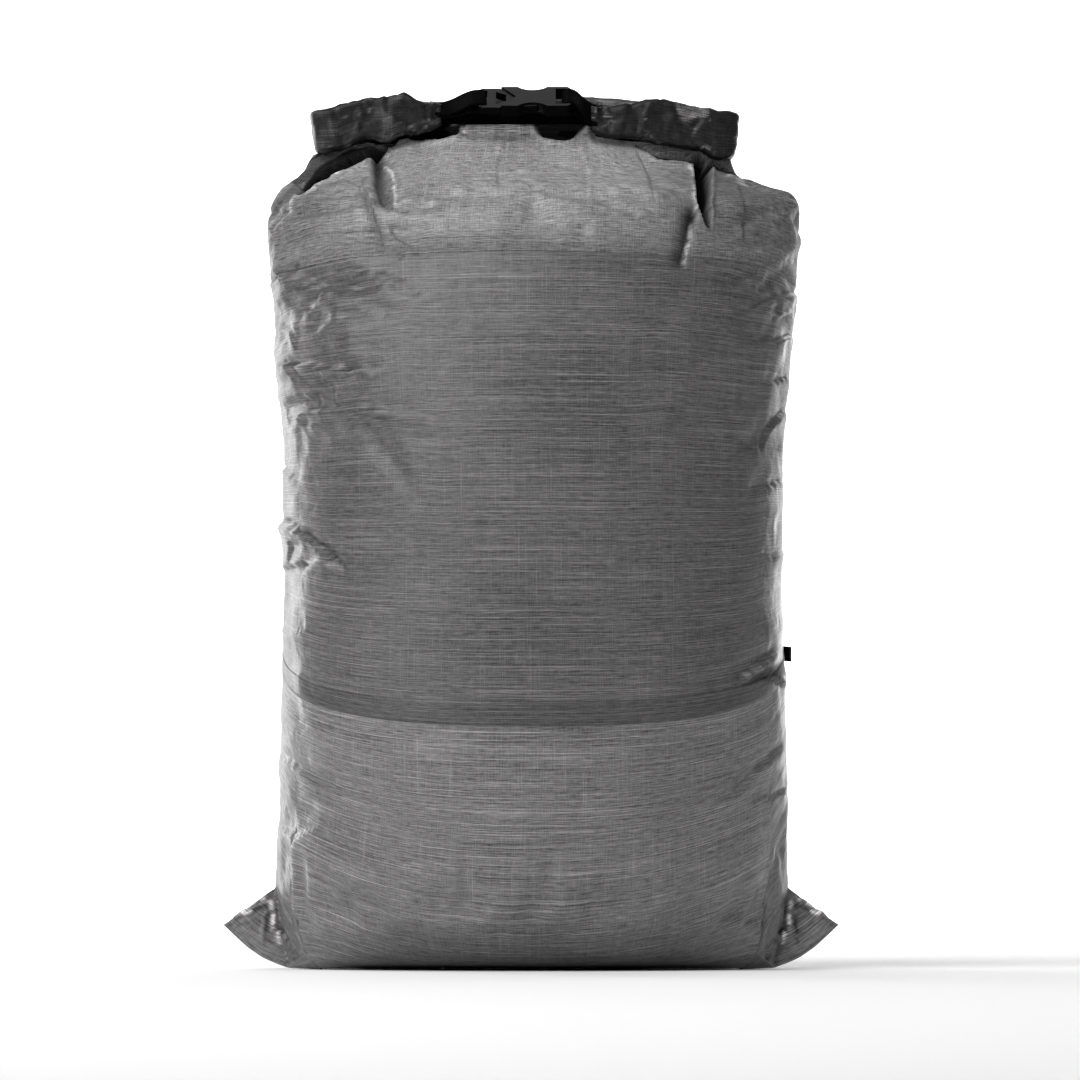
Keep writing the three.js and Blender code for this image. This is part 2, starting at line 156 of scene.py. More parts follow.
def make_stage():
    """A pale floor that curves up into a backdrop."""
    radius, depth, wall, half = 0.9, 2.6, 3.0, 4.5
    curve = [(-3.5, 0.0), (depth, 0.0)]
    for step in range(1, 13):
        angle = step / 12 * math.pi / 2
        curve.append((depth + radius * math.sin(angle), radius * (1 - math.cos(angle))))
    curve.append((depth + radius, wall))
    verts = [(side * half, y, z) for y, z in curve for side in (-1, 1)]
    faces = [(2 * i, 2 * i + 1, 2 * i + 3, 2 * i + 2) for i in range(len(curve) - 1)]
    mesh = bpy.data.meshes.new("floor")
    mesh.from_pydata(verts, [], faces)
    floor = bpy.data.objects.new("floor", mesh)
    bpy.context.scene.collection.objects.link(floor)
    for polygon in mesh.polygons:
        polygon.use_smooth = True
    material = bpy.data.materials.new("floor")
    material.use_nodes = True
    shader = material.node_tree.nodes["Principled BSDF"]
    shader.inputs["Base Color"].default_value = (0.9, 0.9, 0.9, 1)
    shader.inputs["Roughness"].default_value = 0.95
    shader.inputs["Specular IOR Level"].default_value = 0.1
    mesh.materials.append(material)


def make_world():
    world = bpy.data.worlds.new("studio")
    bpy.context.scene.world = world
    world.use_nodes = True
    background = world.node_tree.nodes["Background"]
    background.inputs["Color"].default_value = (1, 1, 1, 1)
    background.inputs["Strength"].default_value = 0.32


# ------------------------------------------------------------------ materials

class Graph:
    """Short names for making shader nodes and joining them."""

    def __init__(self, name):
        self.material = bpy.data.materials.new(name)
        self.material.use_nodes = True
        self.nodes = self.material.node_tree.nodes
        self.links = self.material.node_tree.links
        self.shader = self.nodes["Principled BSDF"]

    def join(self, value, socket):
        if hasattr(value, "links"):
            self.links.new(value, socket)
        else:
            socket.default_value = value

    def node(self, kind, values=None, **settings):
        made = self.nodes.new(kind)
        for name, value in settings.items():
            setattr(made, name, value)
        for key, value in (values or {}).items():
            self.join(value, made.inputs[key])
        return made

    def maths(self, operation, a, b=0.0):
        return self.node("ShaderNodeMath", {0: a, 1: b}, operation=operation).outputs[0]

    def noise(self, place, scale, detail=2.0, roughness=0.5):
        values = {"Vector": place, "Scale": scale, "Detail": detail, "Roughness": roughness}
        return self.node("ShaderNodeTexNoise", values).outputs["Fac"]

    def stretched(self, place, scale):
        return self.node("ShaderNodeMapping", {"Vector": place, "Scale": scale}).outputs[0]

    def ramp(self, value, low, high, start=0.0, end=1.0):
        values = {0: value, 1: low, 2: high, 3: start, 4: end}
        return self.node("ShaderNodeMapRange", values, interpolation_type="SMOOTHSTEP").outputs[0]

    def mix(self, share, a, b, blend_type="MIX"):
        made = self.nodes.new("ShaderNodeMix")
        made.data_type = "RGBA"
        made.blend_type = blend_type
        self.join(share, made.inputs[0])
        self.join(a, made.inputs[6])
        self.join(b, made.inputs[7])
        return made.outputs[2]

    def bump(self, height, strength, distance, normal=None):
        values = {"Height": height, "Strength": strength, "Distance": distance}
        if normal is not None:
            values["Normal"] = normal
        return self.node("ShaderNodeBump", values).outputs[0]

    def finish(self, **inputs):
        for name, value in inputs.items():
            self.join(value, self.shader.inputs[name.replace("_", " ")])
        return self.material


def film_material(name, colour, gloss=0.4, streaks=1.0, grain=1.0, mirror=0.5):
    """Composite film: crossing fibres under a clear skin, finely crumpled. The attribute shade is painted
    light and
    shade: as painted shade it darkens the film where it is positive, which also takes away its shine, and as
    a painted highlight it lightens the film where it is negative."""
    g = Graph(name)
    place = g.node("ShaderNodeUVMap", uv_map="fabric").outputs[0]
    across = g.noise(g.stretched(place, (9.0, 1900.0, 1.0)), 1.0, 3.0, 0.7)
    across_fine = g.noise(g.stretched(place, (30.0, 2500.0, 1.0)), 1.0, 2.0, 0.6)
    up = g.noise(g.stretched(place, (1700.0, 22.0, 1.0)), 1.0, 2.0, 0.6)
    weft = g.noise(g.stretched(place, (180.0, 2100.0, 1.0)), 1.0, 1.0, 0.5)
    warp = g.noise(g.stretched(place, (2100.0, 300.0, 1.0)), 1.0, 1.0, 0.5)
    cloud = g.noise(place, 17.0, 4.0, 0.6)
    tone = g.maths("ADD", g.maths("MULTIPLY", cloud, 0.55), 0.7)
    for value, amount in ((across, 1.7 * streaks), (across_fine, 2.0 * streaks), (weft, 1.9 * grain),
                          (warp, 0.85 * grain), (up, 0.6 * grain)):
        tone = g.maths("ADD", tone, g.maths("MULTIPLY", g.maths("SUBTRACT", value, 0.5), amount))
    lines = ((g.ramp(across, 0.58, 0.65), 1.0 * streaks), (g.ramp(across, 0.42, 0.33), -0.3 * streaks),
             (g.ramp(across_fine, 0.6, 0.7), 0.7 * streaks), (g.ramp(up, 0.6, 0.76), 0.45 * streaks))
    for value, amount in lines:
        tone = g.maths("ADD", tone, g.maths("MULTIPLY", value, amount))
    shade = g.node("ShaderNodeAttribute", attribute_name="shade").outputs["Fac"]
    tone = g.maths("MULTIPLY", g.maths("MAXIMUM", tone, 0.12), g.maths("SUBTRACT", 1.0, shade))
    grey = g.node("ShaderNodeCombineColor", {0: tone, 1: tone, 2: tone}).outputs[0]
    base = g.mix(1.0, (*colour, 1.0), grey, "MULTIPLY")
    rough = g.ramp(cloud, 0.3, 0.7, gloss - 0.07, gloss + 0.1)
    # Painted shade also makes the film rougher and less reflective where it is shaded.
    painted_shading = g.maths("MAXIMUM", shade, 0.0)
    rough = g.maths("ADD", rough, g.maths("MULTIPLY", painted_shading, 0.5))
    level = g.maths("MULTIPLY", g.maths("SUBTRACT", 1.0, g.maths("MULTIPLY", painted_shading, 0.93)), mirror)
    fibres = g.bump(across, 0.25, 0.0004)
    wrinkles = g.maths("ABSOLUTE", g.maths("SUBTRACT", g.noise(place, 42.0, 3.0, 0.55), 0.5))
    pinches = g.maths("ABSOLUTE", g.maths("SUBTRACT", g.noise(place, 110.0, 2.0, 0.5), 0.5))
    normal = g.bump(wrinkles, 0.5, 0.0022, g.bump(pinches, 0.3, 0.001, fibres))
    return g.finish(Base_Color=base, Roughness=rough, Specular_IOR_Level=level, Normal=normal)


def webbing_material():
    g = Graph("webbing")
    place = g.node("ShaderNodeUVMap", uv_map="fabric").outputs[0]
    values = {"Vector": place, "Scale": 260.0, "Distortion": 0.6, "Detail": 1.0}
    ribs = g.node("ShaderNodeTexWave", values, bands_direction="X").outputs["Fac"]
    values = {"Vector": place, "Scale": 330.0, "Distortion": 0.4, "Detail": 1.0}
    cords = g.node("ShaderNodeTexWave", values, bands_direction="Y").outputs["Fac"]
    height = g.maths("MULTIPLY", ribs, cords)
    fuzz = g.noise(place, 2500.0, 2.0)
    tone = g.maths("ADD", g.maths("MULTIPLY", height, 0.9), g.maths("MULTIPLY", fuzz, 0.8))
    grey = g.node("ShaderNodeCombineColor", {0: tone, 1: tone, 2: tone}).outputs[0]
    base = g.mix(1.0, (*GREY["webbing"], 1.0), grey, "MULTIPLY")
    normal = g.bump(height, 0.7, 0.0003)
    return g.finish(Base_Color=base, Roughness=0.85, Specular_IOR_Level=0.04, Normal=normal)


def thread_material():
    g = Graph("thread")
    place = g.node("ShaderNodeTexCoord").outputs["Object"]
    twist = g.noise(g.stretched(place, (1500.0, 1500.0, 5000.0)), 1.0, 2.0)
    tone = g.ramp(twist, 0.2, 0.8, 0.6, 1.6)
    grey = g.node("ShaderNodeCombineColor", {0: tone, 1: tone, 2: tone}).outputs[0]
    base = g.mix(1.0, (*GREY["thread"], 1.0), grey, "MULTIPLY")
    return g.finish(Base_Color=base, Roughness=0.75, Normal=g.bump(twist, 0.5, 0.0002))


def plastic_material():
    """Moulded acetal: a fine spark-eroded grain, a little worn to a shine. Painted light from above makes
    faces that look up lighter and shinier, and faces that look sideways or down darker and duller.
    """
    g = Graph("plastic")
    place = g.node("ShaderNodeTexCoord").outputs["Object"]
    grain = g.noise(place, 3800.0, 3.0, 0.6)
    wear = g.noise(place, 160.0, 3.0, 0.6)
    normals = g.node("ShaderNodeTexCoord").outputs["Normal"]
    facing = g.node("ShaderNodeSeparateXYZ", {0: normals}).outputs["Z"]
    # Painted light and shade: lighter on faces that look up, darker on the sides and undersides.
    painted_top_light = g.ramp(facing, 0.1, 0.75, 0.12, 1.35)
    tone = g.maths("MULTIPLY", g.ramp(wear, 0.3, 0.75, 0.8, 1.35), painted_top_light)
    grey = g.node("ShaderNodeCombineColor", {0: tone, 1: tone, 2: tone}).outputs[0]
    base = g.mix(1.0, (*GREY["plastic"], 1.0), grey, "MULTIPLY")
    rough = g.ramp(wear, 0.3, 0.7, 0.36, 0.52)
    # Painted shade also takes the shine off faces that look sideways or down.
    level = g.ramp(facing, 0.0, 0.6, 0.03, 0.35)
    normal = g.bump(grain, 0.25, 0.0001)
    return g.finish(Base_Color=base, Roughness=rough, Specular_IOR_Level=level, Normal=normal)


# ------------------------------------------------------------------ mesh helpers

def add_mesh(name, verts, faces, uvs=None, shade=None):
    """A smooth mesh object. verts are in millimetres, uvs in metres of fabric, one of each for a vertex."""
    mesh = bpy.data.meshes.new(name)
    mesh.from_pydata((np.asarray(verts) * MM).tolist(), [], [list(map(int, face)) for face in faces])
    if uvs is not None:
        layer = mesh.uv_layers.new(name="fabric")
        corners = np.empty(len(mesh.loops), dtype=np.int32)
        mesh.loops.foreach_get("vertex_index", corners)
        layer.data.foreach_set("uv", np.asarray(uvs, np.float32)[corners].ravel())
    if shade is not None:
        attribute = mesh.attributes.new("shade", "FLOAT", "POINT")
        attribute.data.foreach_set("value", np.asarray(shade, np.float32))
    mesh.polygons.foreach_set("use_smooth", [True] * len(mesh.polygons))
    mesh.update()
    piece = bpy.data.objects.new(name, mesh)
    bpy.context.scene.collection.objects.link(piece)
    return piece


def grid_faces(rows, columns, wrap=False):
    """Quads over a grid of vertices, with the last column joined to the first if wrap is true."""
    reach = columns if wrap else columns - 1
    j, i = np.meshgrid(np.arange(rows - 1), np.arange(reach), indexing="ij")
    after = (i + 1) % columns
    corners = (j * columns + i, j * columns + after, (j + 1) * columns + after, (j + 1) * columns + i)
    return np.stack([c.ravel() for c in corners], axis=1)


def thicken(piece, thickness):
    """Gives a sheet its thickness in millimetres, inwards."""
    made = piece.modifiers.new("thickness", "SOLIDIFY")
    made.thickness = thickness * MM
    made.offset = -1.0


def dress(piece, material, slot, *replaced):
    piece.data.materials.append(material)
    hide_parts(*replaced)


def box_mm(node):
    low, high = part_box(node)
    return np.array(low) / MM, np.array(high) / MM


def tube(points, radius, sides=6):
    """Vertices and faces of a round tube of even thickness through points."""
    points = np.asarray(points, float)
    along = np.gradient(points, axis=0)
    along /= np.linalg.norm(along, axis=1, keepdims=True)
    across = np.cross(along, (0.31, 0.9, 0.3))
    across /= np.linalg.norm(across, axis=1, keepdims=True)
    up = np.cross(along, across)
    turn = np.linspace(0, 2 * math.pi, sides, endpoint=False)[None, :, None]
    rings = points[:, None] + radius * (np.cos(turn) * across[:, None] + np.sin(turn) * up[:, None])
    faces = grid_faces(len(points), sides, wrap=True).tolist()
    faces += [list(range(sides))[::-1], [len(points) * sides - sides + i for i in range(sides)]]
    return rings.reshape(-1, 3), faces


# ------------------------------------------------------------------ curves and noise

CREASE_RADIUS = 0.75
GROOVE_WALL = 1.6
GLEAM_WIDTH = 0.75
VEIN_WIDTH = 0.07


def smoothstep(value, low=0.0, high=1.0):
    t = np.clip((value - low) / (high - low), 0.0, 1.0)
    return t * t * (3 - 2 * t)


def curve_through(points, at):
    """Heights of a monotone cubic through (place, height) points, so that nothing bulges between them."""
    xs, ys = np.asarray(points, float).T
    h = np.diff(xs)
    slope = np.diff(ys) / h
    same = slope[:-1] * slope[1:] > 0
    mean = 2 * slope[:-1] * slope[1:] / np.where(same, slope[:-1] + slope[1:], 1)
    tangent = np.concatenate([[slope[0]], np.where(same, mean, 0.0), [slope[-1]]])
    at = np.clip(at, xs[0], xs[-1])
    k = np.clip(np.searchsorted(xs, at) - 1, 0, len(xs) - 2)
    t = (at - xs[k]) / h[k]
    return ((2 * t**3 - 3 * t**2 + 1) * ys[k] + (t**3 - 2 * t**2 + t) * h[k] * tangent[k]
            + (3 * t**2 - 2 * t**3) * ys[k + 1] + (t**3 - t**2) * h[k] * tangent[k + 1])


def lattice_noise(u, v, cell, seed):
    """Smooth noise from -1 to 1 from random values on a lattice. cell is the lattice's (width, height)."""
    size = 64
    table = np.random.default_rng(seed).uniform(-1, 1, (size, size))
    u, v = u / cell[0], v / cell[1]
    i, j = np.floor(u).astype(int), np.floor(v).astype(int)
    across, up = smoothstep(u - i), smoothstep(v - j)
    left, right = i % size, (i + 1) % size
    heights = (j % size, (j + 1) % size)
    rows = [table[left, row] * (1 - across) + table[right, row] * across for row in heights]
    return rows[0] * (1 - up) + rows[1] * up


def crumple(u, v, cell, seed, levels=3):
    """Creased film: sharp ridges and valleys between smooth facets, each level half the size of the last."""
    total = 0.0
    for level in range(levels):
        share = 0.5**level
        size = (cell[0] * share, cell[1] * share)
        bent = u + 0.35 * size[0] * lattice_noise(u, v, size, seed + 7 * level + 1)
        ridges = -np.abs(lattice_noise(bent, v, size, seed + 7 * level + 2))
        valleys = np.abs(lattice_noise(bent + 0.4 * v, v, size, seed + 7 * level + 3))
        total = total + share * (ridges + valleys)
    return total


def path_distance(x, z, path):
    """Signed distance in the x-z plane from each point to an open path, positive on its right, and the
    share of the path's length at the nearest point."""
    path = np.asarray(path, float)
    best = np.full(x.shape, np.inf)
    signed = np.zeros(x.shape)
    share = np.zeros(x.shape)
    steps = np.diff(path, axis=0)
    lengths = np.hypot(steps[:, 0], steps[:, 1])
    starts = np.concatenate([[0.0], np.cumsum(lengths)])
    for (x0, z0), (dx, dz), length, start in zip(path[:-1], steps, lengths, starts):
        along = np.clip(((x - x0) * dx + (z - z0) * dz) / length ** 2, 0, 1)
        ox, oz = x - (x0 + along * dx), z - (z0 + along * dz)
        away = np.hypot(ox, oz)
        nearer = away < best
        side = np.sign(ox * dz - oz * dx)
        best = np.where(nearer, away, best)
        signed = np.where(nearer, side * away, signed)
        share = np.where(nearer, (start + along * length) / starts[-1], share)
    return signed, share


def fold(x, z, path, right, left, fade=0.18):
    """Height of a creased fold. right and left are its (height, width) on each side of the path, and the
    height fades over a share of the path at each end."""
    signed, share = path_distance(x, z, path)
    ends = smoothstep(share, 0, fade) * smoothstep(1 - share, 0, fade)
    away = np.sqrt(signed**2 + CREASE_RADIUS**2) - CREASE_RADIUS
    heights = [height * np.exp(-away / width) for height, width in (right, left)]
    side = smoothstep(signed, -CREASE_RADIUS, CREASE_RADIUS)
    return (heights[0] * side + heights[1] * (1 - side)) * ends


def groove(x, z, path, half_widths, depth, rims, wall=GROOVE_WALL):
    """Height of a steep-sided pocket along a path, and how far each point is inside it, from 0 to 1. rims
    are the heights of the lips on its right and left."""
    signed, share = path_distance(x, z, path)
    half = np.interp(share, np.linspace(0, 1, len(half_widths)), half_widths)
    away = np.abs(signed)
    inside = smoothstep(half - away, -wall / 2, wall / 2)
    lip = np.where(signed > 0, rims[0], rims[1]) * np.exp(-(((away - half - 1.2) / 1.3) ** 2))
    return lip * smoothstep(half, 0.5, 2) - depth * inside, inside


# ------------------------------------------------------------------ the bag's shape

BODY_WIDTH, _, BODY_TOP = box_mm("front_collar_panel")[1]
BODY_DEPTH = box_mm("girth_seam_tape")[1][1]
EAR_TIP = box_mm("right_ear")[1]
# The middle of the roll's folded ends lies behind their stitches, and the front fabric lies behind them.
FLAP_Y = box_mm("left_bartack")[1][1] + 3.4
FLAP_BACK = -6.3

# Sections up the bag: height as a share of the collar's, half width and half depth as shares of the body's,
# how round the sides are, 2 for an ellipse, and how far the section lies to the right, in millimetres.
SECTIONS = [
    (0.0, 0.832, 0.5, 1.45, 0.0),
    (0.006, 0.87, 0.62, 1.45, 0.0),
    (0.02, 0.9, 0.74, 1.45, 0.0),
    (0.053, 0.936, 0.852, 1.5, 0.0),
    (0.112, 0.958, 0.93, 1.65, 0.0),
    (0.2, 0.946, 0.974, 1.9, 1.0),
    (0.293, 0.944, 0.98, 2.05, 1.0),
    (0.507, 0.932, 0.98, 2.1, 1.0),
    (0.635, 0.936, 0.963, 2.1, 1.0),
    (0.734, 0.96, 0.919, 2.1, 1.0),
    (0.832, 0.984, 0.82, 2.1, 1.0),
    (0.912, 1.0, 0.665, 2.1, 1.0),
    (0.944, 0.992, 0.576, 2.1, 1.6),
    (0.963, 0.968, 0.498, 2.1, 2.0),
    (0.976, 0.896, 0.42, 2.1, -2.0),
    (0.992, 0.816, 0.343, 2.1, -4.9),
    (1.008, 0.792, 0.255, 2.1, -4.6),
    (1.024, 0.776, 0.16, 2.1, -4.2),
    (1.04, 0.752, 0.082, 2.1, -4.0),
]
FULLEST = 2.1
FLOOR_ARCH = 1.6
EAR_ALONG_SEAM = 29.0
EAR_ALONG_BOTTOM = 36.0
HALF_GIRTH = 327.0
EAR_BELLY = 3.2
EAR_ROOT_X = 113.0
EAR_ROOT_Z = 0.5
GIRTH_SEAM = (117.0, 27.0)
COLLAR_SEAM = (333.0, -12.0)
SEAM_CURVE = 2.5
FRONT_STEPS = 400
BACK_STEPS = 100
SIM_ROWS = 72
SIM_COLUMNS = 50
SIM_FRAMES = 20
SIM_CAP = 2.2
ROW_SPACING = 2.05
# The ears' share of the shell, to each side of the side seam and up from the bottom seam.
EAR_PATCH_GIRTH = 14 * HALF_GIRTH / BACK_STEPS
EAR_PATCH_RISE = 42.0


def section(z):
    shares = np.asarray(SECTIONS)
    columns = (curve_through(shares[:, (0, c)], z / BODY_TOP) for c in (1, 2, 3))
    half_width, half_depth, squareness = columns
    return half_width * BODY_WIDTH, half_depth * BODY_DEPTH, squareness


def section_shift(z):
    return curve_through(np.asarray(SECTIONS)[:, (0, 4)], z / BODY_TOP)


def section_angle(across):
    """The angle on the bag's middle section at a share of its quarter girth, from the middle of the front."""
    angles = np.linspace(0, math.pi / 2, 400)
    x, y = 0.94 * BODY_WIDTH * np.sin(angles), BODY_DEPTH * np.cos(angles)
    lengths = np.concatenate([[0], np.cumsum(np.hypot(np.diff(x), np.diff(y)))])
    return float(np.interp(across, lengths / lengths[-1], angles))


def top_edge(x, in_front):
    """Height of the fabric's upper edge, which stands in front of the roll in the middle of the bag."""
    sides = 381.0 + 7.0 * (1 - smoothstep(abs(x), 78, 92))
    return sides + (6.5 * (1 - smoothstep(abs(x), 31, 44)) if in_front else 0.0)


def meridian(across, in_front):
    """One column of a quarter of the bag, from its bottom up to the roll, as points, with how far it is
    into the ear, from 0 to 1."""
    angle = section_angle(across)
    into_ear = max(0.0, 1 - (1 - across) * HALF_GIRTH / 2 / EAR_ALONG_BOTTOM)
    low = EAR_ROOT_Z + into_ear * (EAR_TIP[2] - EAR_ROOT_Z)
    top = float(top_edge(0.76 * BODY_WIDTH * math.sin(angle), in_front))
    zs = np.concatenate([low + (60 - low) * np.linspace(0, 1, 60) ** 1.4, np.linspace(60, top, 220)[1:]])
    half_width, half_depth, squareness = section(zs)
    x = half_width * math.sin(angle) ** (2 / FULLEST)
    y = half_depth * math.cos(angle) ** (2 / squareness)
    if in_front:
        y = y + 2.0 * smoothstep(zs, 372, 386) * (1 - smoothstep(x, 34, 48))
    body = np.stack([x, y, zs], axis=1)
    reach = EAR_ROOT_X / (1 - EAR_ALONG_BOTTOM / (HALF_GIRTH / 2))
    start_x = min(reach * across, EAR_ROOT_X) + into_ear * 6.5
    start = np.array([start_x, 0.6, low])
    if into_ear > 0:
        body = body[zs > low + 6]
    floor = start + (body[0] - start) * np.linspace(0, 1, 14)[:-1, None]
    return np.concatenate([floor, body]), into_ear


def quarter_grid(columns, rises, seam_rises, in_front):
    """Points of a quarter of the bag at +x and +y: a row for each rise, a column for each share across."""
    grid = np.zeros((len(rises), len(columns), 3))
    for c, across in enumerate(columns):
        points, into_ear = meridian(across, in_front)
        lengths = np.concatenate([[0], np.cumsum(np.linalg.norm(np.diff(points, axis=0), axis=1))])
        seams = [middle + rise * across**SEAM_CURVE for middle, rise in (GIRTH_SEAM, COLLAR_SEAM)]
        marks = [0.0, *np.interp(seams, points[:, 2], lengths), lengths[-1]]
        crease = into_ear * EAR_ALONG_SEAM
        along = curve_through(list(zip([crease, *seam_rises], marks)), rises)
        for axis in range(3):
            grid[:, c, axis] = np.interp(along, lengths, points[:, axis])
        inside = rises < crease
        if inside.any():
            edge = np.array([EAR_ROOT_X + into_ear * (EAR_TIP[0] - EAR_ROOT_X), 0.4, 0.0])
            edge[2] = EAR_ROOT_Z + into_ear * (20.6 - EAR_ROOT_Z) - EAR_BELLY * math.sin(math.pi * into_ear)
            edge[2] = max(edge[2], EAR_ROOT_Z)
            t = (rises[inside] / crease)[:, None]
            grid[inside, c] = edge + (points[0] - edge) * t
            grid[inside, c, 1] += 1.6 * np.sin(math.pi * t[:, 0])
    return grid


def whole_grid():
    """Fabric coordinates and points of the whole bag, and the rises of its two seams. The first and last
    columns both lie on the left side seam."""
    middle, _ = meridian(0.0, True)
    lengths = np.concatenate([[0], np.cumsum(np.linalg.norm(np.diff(middle, axis=0), axis=1))])
    seam_rises = [*np.interp([GIRTH_SEAM[0], COLLAR_SEAM[0]], middle[:, 2], lengths), lengths[-1]]
    fine_from = 0.74 * lengths[-1]
    rises = np.concatenate([np.arange(0, fine_from, ROW_SPACING), np.linspace(fine_from, lengths[-1], 130)])
    front = np.linspace(-1, 1, FRONT_STEPS + 1)
    back = np.linspace(1, -1, BACK_STEPS + 1)
    parts = []
    for across, in_front in ((front, True), (back[1:], False)):
        quarter = quarter_grid(np.abs(across), rises, seam_rises, in_front)
        quarter[:, :, 0] *= np.sign(across)
        quarter[:, :, 1] *= -1 if in_front else 1
        parts.append(quarter)
    points = np.concatenate(parts, axis=1)
    points[:, :, 0] += section_shift(points[:, :, 2])
    girth = np.concatenate([(front + 1) / 2 * HALF_GIRTH, HALF_GIRTH + (1 - back[1:]) / 2 * HALF_GIRTH])
    return girth, rises, points, seam_rises


def grid_normals(points, closed=False):
    """Unit normals of a grid. In a closed one the first and last columns are the same."""
    if closed:
        points = np.concatenate([points[:, -2:-1], points, points[:, 1:2]], axis=1)
    normal = np.cross(np.gradient(points, axis=1), np.gradient(points, axis=0))
    normal /= np.maximum(np.linalg.norm(normal, axis=2, keepdims=True), 1e-12)
    return normal[:, 1:-1] if closed else normal


# ------------------------------------------------------------------ folds in the fabric

# Folds seen from the front: a path of (x, z), then (height, width) on its right and on its left.
FOLDS = [
    # shoulders
    ([(-68, 386), (-92, 379), (-105.6, 369.9), (-124, 356.5)], (1.6, 2.4), (0.8, 1.2)),
    ([(-109, 360), (-111.5, 354), (-112.5, 351), (-119, 343)], (-1.8, 1.6), (1.4, 2.0)),
    ([(-123, 355.6), (-112, 351)], (-0.9, 1.2), (0.7, 2.0)),
    ([(-111.5, 367), (-105, 362)], (0.8, 1.2), (-0.8, 1.6)),
    ([(46, 385), (80, 378), (95, 371), (103, 367)], (0.9, 4.0), (-1.6, 2.6)),
    ([(88, 368.4), (103, 366), (114, 360), (124, 353)], (-1.2, 1.8), (1.0, 3.0)),
    # soft gathers below the roll
    ([(-80, 368), (-75, 357), (-68.2, 334), (-65, 329)], (-2.0, 3.4), (1.4, 4.4)),
    ([(-66, 344), (-62, 336), (-52, 330)], (0.9, 3.0), (-0.7, 4.0)),
    ([(48, 384), (55, 366), (57, 350)], (0.6, 7.0), (-0.6, 4.0)),
    ([(96, 368), (99, 350), (97, 334)], (0.9, 5.0), (-0.9, 4.0)),
    ([(-40, 386), (-48, 370), (-50, 352)], (-0.5, 4.0), (0.7, 7.0)),
    ([(-12, 388), (-16, 372), (-15, 356)], (0.4, 5.0), (-0.4, 6.0)),
    ([(22, 386), (27, 368), (26, 350)], (-0.4, 6.0), (0.4, 5.0)),
    # left side
    ([(-123, 352), (-118.9, 338.4), (-117.9, 325.6), (-114.5, 318.7), (-118, 310)], (-0.4, 2.0), (2.2, 2.6)),
    ([(-124, 320), (-112, 321), (-106, 325)], (1.1, 3.0), (-1.1, 1.6)),
    ([(-120, 283), (-106, 279), (-84, 275), (-67, 274)], (2.2, 7.0), (-2.0, 4.0)),
    ([(-119, 262), (-104, 264), (-92, 273)], (-1.6, 4.0), (1.8, 4.0)),
    ([(-118, 247), (-104, 258), (-80, 259), (-42, 251)], (2.0, 6.0), (-1.2, 4.0)),
    ([(-112, 281), (-103, 268), (-101, 257)], (1.2, 2.6), (-1.2, 2.6)),
    ([(-96, 277), (-90, 266), (-92, 257)], (-0.8, 2.4), (0.9, 3.0)),
    ([(-119, 211), (-104, 200), (-84, 182.5)], (2.4, 5.0), (-1.8, 3.6)),
    ([(-118, 186), (-104, 188), (-85, 182)], (-1.6, 3.0), (1.4, 4.0)),
    ([(-116, 209), (-112, 197), (-113, 186)], (0.9, 2.4), (-1.1, 2.4)),
    ([(-120, 300), (-112, 296), (-108, 288)], (0.9, 3.0), (-1.0, 2.4)),
    ([(-118, 236), (-111, 228), (-107, 226)], (1.0, 3.0), (-0.9, 2.4)),
    ([(-118, 160), (-110, 156), (-103, 157)], (0.7, 3.0), (-0.8, 3.0)),
    ([(-118, 100), (-104, 90), (-87, 79)], (1.5, 5.0), (-1.1, 4.0)),
    ([(-118, 66), (-108, 62), (-96, 66)], (0.9, 5.0), (-0.8, 3.0)),
    # right side
    ([(126, 316), (112, 310), (99, 303)], (-1.6, 3.0), (1.6, 4.0)),
    ([(124, 296), (112, 290), (100, 288)], (-1.3, 3.0), (1.4, 4.0)),
    ([(122, 306), (115, 302), (110, 303)], (1.0, 2.0), (-1.0, 2.4)),
    ([(121, 262), (110, 250), (106, 238)], (-1.2, 3.0), (1.4, 4.6)),
    ([(122, 276), (114, 272), (104, 273)], (-0.9, 2.4), (1.0, 3.6)),
    ([(118, 228), (109, 222), (100, 220)], (-1.0, 3.0), (1.0, 4.0)),
    ([(119, 196), (112, 190), (106, 191)], (-0.7, 2.4), (0.8, 3.0)),
    ([(119, 152), (107, 142), (94, 132)], (-1.9, 3.0), (1.8, 4.0)),
    ([(119, 131), (108, 137), (99, 137)], (1.3, 3.0), (-1.3, 3.0)),
    ([(119, 106), (103, 90), (85, 73)], (-1.3, 4.0), (1.3, 5.0)),
    ([(119, 84), (110, 79), (101, 80)], (-0.8, 4.0), (0.9, 4.0)),
    # bottom corners
    ([(-120.5, 40), (-108, 23.5), (-92, 7)], (-1.3, 1.2), (1.0, 8.0)),
    ([(-104, 5), (-84, 3), (-66, 8), (-52, 16)], (0.5, 6.0), (-0.8, 4.0)),
    ([(121.5, 37), (109, 24), (97.5, 12)], (1.0, 8.0), (-1.3, 1.2)),
    ([(106, 4), (88, 4), (70, 10)], (-0.7, 4.0), (0.5, 6.0)),
]

# Darts seen from the front: a path of (x, z) from the roll down to the tip, depth, and the widths over
# which the fabric falls to it on its right and left, walking along the path.
DARTS = [
    ([(-72.7, 380), (-71.8, 365.6), (-68.9, 354), (-62.8, 348.6)], 6.5, (1.1, 5.2)),
    ([(74.8, 348.4), (72.8, 338.4), (69.5, 327), (68.9, 318.5)], 4.2, (5.5, 1.3)),
    ([(-64.5, 388), (-84, 378), (-103, 365.5), (-111, 359)], 5.0, (3.0, 1.0)),
]

